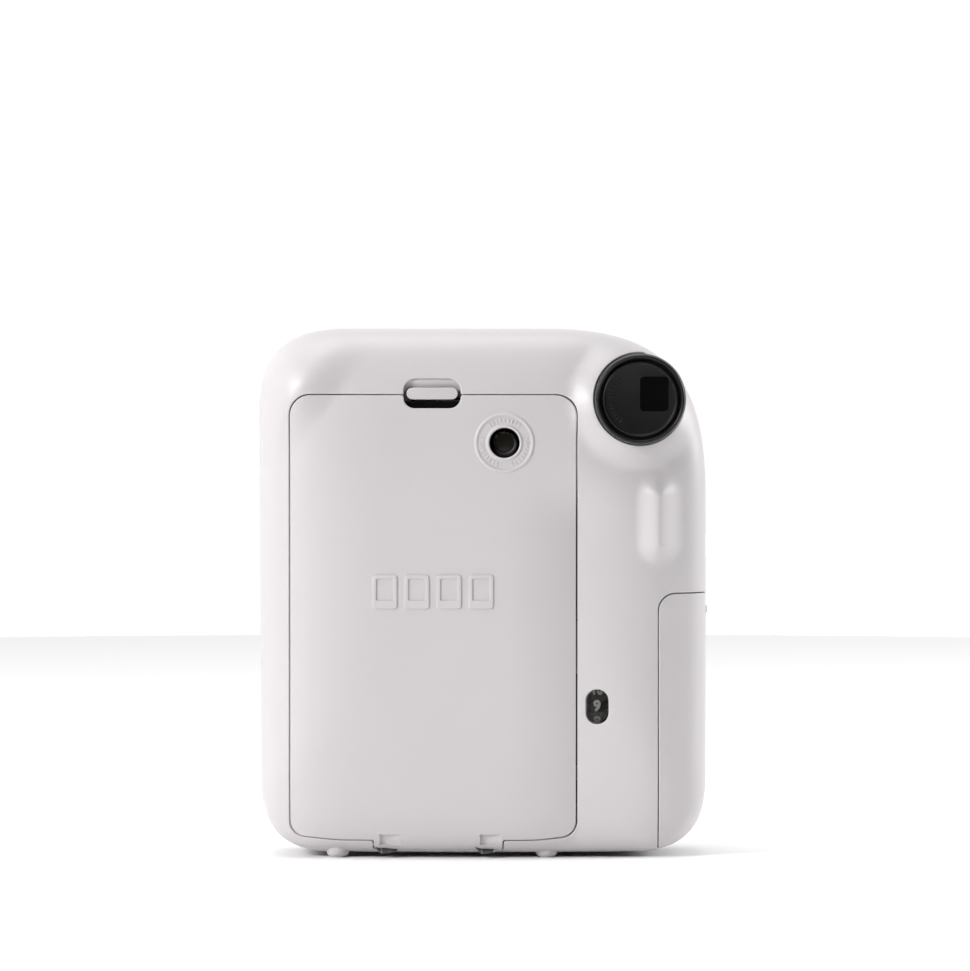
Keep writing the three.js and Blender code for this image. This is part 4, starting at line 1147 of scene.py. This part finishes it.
def build_strap_pocket():
    """The sunk pocket behind the two strap windows in the grip side."""
    tray = block("strap_pocket_tray", (-51.0, 3.9, 68.7), (-44.7, 16.3, 75.3), 0.2)
    cut(tray, block("tray_cutter", (-60, 4.7, 69.4), (-45.3, 15.5, 74.6), 0.4))
    finish_piece(tray, CASE, "camera_body", ())


def build_battery_nub():
    nub = block("battery_cover_nub", (-52.25, 6.5, 56.2), (-50.8, 11.5, 58.0), 0.35)
    finish_piece(nub, CASE, "battery_door", ())


FEET = [
    # name, x, y
    ("grip_back", -14.8, 19.5),
    ("film_back", 33.6, 19.5),
    ("grip_front", -14.8, -4),
    ("film_front", 33.6, -4),
]


def build_feet():
    for name, x, y in FEET:
        profile = [(0, 0, 0), (1.7, 0, 0.4), (2.5, 0.7, 0.7), (2.9, 2.4, 0), (0, 2.4, 0)]
        foot = turned("foot_" + name, profile, x, 0, 48, upright=y)
        finish_piece(foot, CASE, "camera_body", ())


# ---------- front details ----------


def build_lens_ring():
    ring = turned(
        "twist_ring",
        [
            (20.8, -16, 0.2),
            (27.3, -16, 0.2),
            (27.3, -24.2, 0.2),
            (27.8, -24.7, 0.2),
            (27.8, -25.4, 0.2),
            (27.35, -25.7, 0.1),
            (27.35, -29.9, 0.1),
            (27.8, -30.2, 0.2),
            (27.7, -30.9, 0.3),
            (26.9, -31.5, 0.4),
            (22.2, -31.5, 0.6),
            (20.8, -30.6, 0.3),
        ],
        LENS_X,
        LENS_Z,
        192,
        closed=True,
    )
    finish_piece(ring, RING, "ring", ["lens_ring"])
    low = (LENS_X - 0.55, -30.05, LENS_Z + 27.0)
    rib = block("twist_ring_ribs", low, (LENS_X + 0.55, -25.55, LENS_Z + 27.75), 0.25)
    ribs = copied_round(rib, 72, LENS_X, LENS_Z)
    finish_piece(ribs, RING, "ring", ())


def build_barrel():
    barrel = turned(
        "lens_barrel_front",
        [
            (18.0, -15.3, 0.1),
            (19.4, -15.3, 0.2),
            (19.4, -32.2, 0.8),
            (18.3, -33.3, 0.7),
            (17.3, -33.3, 0.2),
            (17.0, -32.95, 0.2),
            (9.55, -32.95, 0.12),
            (9.25, -33.2, 0.15),
            (8.75, -33.2, 0.2),
            (8.0, -31.6, 0.3),
            (8.0, -31.1, 0),
            (18.0, -31.1, 0.2),
        ],
        LENS_X,
        LENS_Z,
        160,
        closed=True,
    )
    finish_piece(barrel, SATIN, "barrel", ["lens_barrel"])
    mirror = turned(
        "selfie_mirror_dome",
        [(0, -32.5, 0), (3.4, -32.5, 0), (3.4, -32.95, 0.1), (2.6, -33.12, 0.6), (0, -33.22, 0)],
        LENS_X - 13.1,
        LENS_Z,
        64,
    )
    finish_piece(mirror, MIRROR, "barrel", ["selfie_mirror"])


def build_shutter_button():
    button = turned(
        "shutter_button_cap",
        [
            (0, -8.7, 0),
            (1.7, -8.7, 0.1),
            (1.7, -17.2, 0),
            (5.3, -17.2, 0.1),
            (5.3, -15.3, 0.1),
            (6.2, -15.3, 0.2),
            (6.2, -18.5, 0.5),
            (5.7, -18.9, 0.4),
            (4.6, -18.8, 1.5),
            (0, -18.45, 0),
        ],
        BUTTON_X,
        BUTTON_Z,
        96,
    )
    finish_piece(button, RING, "release", ["shutter_button"])


def build_flash_pane():
    pane = slab("flash_diffuser", pill(FLASH_X, FLASH_Z, 25.2, 14.7), -14.1, -11.7, 0.6, 4)
    finish_piece(pane, FROSTED, "camera_body", ["flash_window"])


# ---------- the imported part's own pieces, merged and given soft edges ----------

SLOT_MATERIALS = {
    "case_plastic": CASE,
    "ring_plastic": RING,
    "satin_black": SATIN,
    "inner_black": INNER,
    "nylon": NYLON,
    "circuit_board": BOARD,
    "capacitor_sleeve": SLEEVE,
    "smoked_window": SMOKED,
    "clear_lens": CLEAR,
    "mirror": MIRROR,
    "steel": STEEL,
    "brass": BRASS,
}
SHELLS = {"rear_cover", "front_cover", "battery_cover", "film_door"}
REMADE = SHELLS | {
    "eyepiece_ring", "eyepiece_lens", "door_latch", "film_check_window", "counter_window",
    "counter_drum", "lens_ring", "lens_barrel", "selfie_mirror", "flash_window", "shutter_button",
}


def finish_remaining_nodes():
    bodies = frame["record"]["behaviour"]["bodies"]
    body_of = {node: body for body, nodes in bodies.items() for node in nodes}
    for entry in frame["record"]["subparts"]:
        name = entry["node"]
        node = frame["nodes"][name]
        material = SLOT_MATERIALS[entry["material_slot"]]
        node.data.materials.clear()
        node.data.materials.append(material)
        if name in REMADE:
            continue
        piece = bpy.data.objects.new(name + "_finished", node.data.copy())
        bpy.context.scene.collection.objects.link(piece)
        work_on(piece)
        bpy.ops.object.mode_set(mode="EDIT")
        bpy.ops.mesh.select_all(action="SELECT")
        bpy.ops.mesh.remove_doubles(threshold=2e-6)
        bpy.ops.mesh.dissolve_limited(angle_limit=math.radians(0.8))
        bpy.ops.object.mode_set(mode="OBJECT")
        if "spring" not in name:
            bevel = piece.modifiers.new("edges", "BEVEL")
            bevel.width = 0.1 * MM
            bevel.segments = 2
            bevel.limit_method = "ANGLE"
            bevel.angle_limit = math.radians(38)
        settle(piece)
        smooth_by_angle(piece, 32)
        finish_piece(piece, material, body_of[name], [name])


# ---------- studio ----------

DIM_SIDE = 0.08
SOFTBOXES = [
    # name, place in metres, diameter in metres, watts
    ("overhead_softbox", (0.1, 0.1, 1.3), 0.8, 6),
    ("left_softbox", (0.85, 0.72, 0.55), 0.35, 9.5),
    ("right_softbox", (-1.1, -0.25, 0.4), 0.5, 7.5),
]


def build_studio():
    """White paper under a white dome, bright behind the camera and dim in front, with three softboxes."""
    scene = bpy.context.scene
    scene.view_settings.view_transform = "Standard"
    nothing_selected()
    bpy.ops.mesh.primitive_circle_add(vertices=128, radius=0.78, fill_type="NGON", location=(0, -0.25, 0))
    floor = bpy.context.object
    floor.name = "studio_floor"
    paper = new_material("studio_paper", {"Base Color": colour("FAFAFA"), "Roughness": 0.9})
    floor.data.materials.append(paper[0])
    world = bpy.data.worlds.new("studio_world")
    scene.world = world
    world.use_nodes = True
    tree = world.node_tree
    way = add(tree, "TexCoord").outputs["Generated"]
    facing = add(tree, "VectorMath", {"operation": "DOT_PRODUCT", 1: (-0.4, 0.91, 0.0)}, {0: way})
    strength = add(
        tree,
        "MapRange",
        {"From Min": -0.35, "From Max": 0.75, "To Min": 1.02, "To Max": DIM_SIDE},
        {"Value": facing.outputs["Value"]},
    )
    tree.links.new(strength.outputs["Result"], tree.nodes["Background"].inputs["Strength"])
    tree.nodes["Background"].inputs["Color"].default_value = (1, 1, 1, 1)
    for name, spot, size, power in SOFTBOXES:
        light = bpy.data.lights.new(name, "AREA")
        light.shape = "DISK"
        light.size = size
        light.energy = power
        lamp = bpy.data.objects.new(name, light)
        scene.collection.objects.link(lamp)
        lamp.location = spot
        aim = Vector((0, 0, 0.06)) - Vector(spot)
        lamp.rotation_euler = aim.to_track_quat("-Z", "Y").to_euler()


def build_camera():
    """A long lens, level with the camera's upper half, looking at the back."""
    distance = 1.5
    elevation = math.radians(1.5)
    width_seen = 970 / 4.32 * MM
    target = Vector((-0.0005, 0.022, 0.0862))
    lens = bpy.data.cameras.new("view")
    lens.sensor_width = 36
    lens.lens = 36 * distance / width_seen
    lens.clip_end = 20
    view = bpy.data.objects.new("view", lens)
    bpy.context.scene.collection.objects.link(view)
    view.location = target + Vector((0, math.cos(elevation), math.sin(elevation))) * distance
    view.rotation_euler = (target - view.location).to_track_quat("-Z", "Y").to_euler()
    bpy.context.scene.camera = view


build_camera()
build_rear_cover()
build_door()
build_battery_cover()
build_front_cover()
build_eyepiece()
build_latch()
build_windows()
build_check_ring_ticks()
build_door_relief()
build_counter()
build_strap_pocket()
build_battery_nub()
build_feet()
build_lens_ring()
build_barrel()
build_shutter_button()
build_flash_pane()
finish_remaining_nodes()
build_studio()
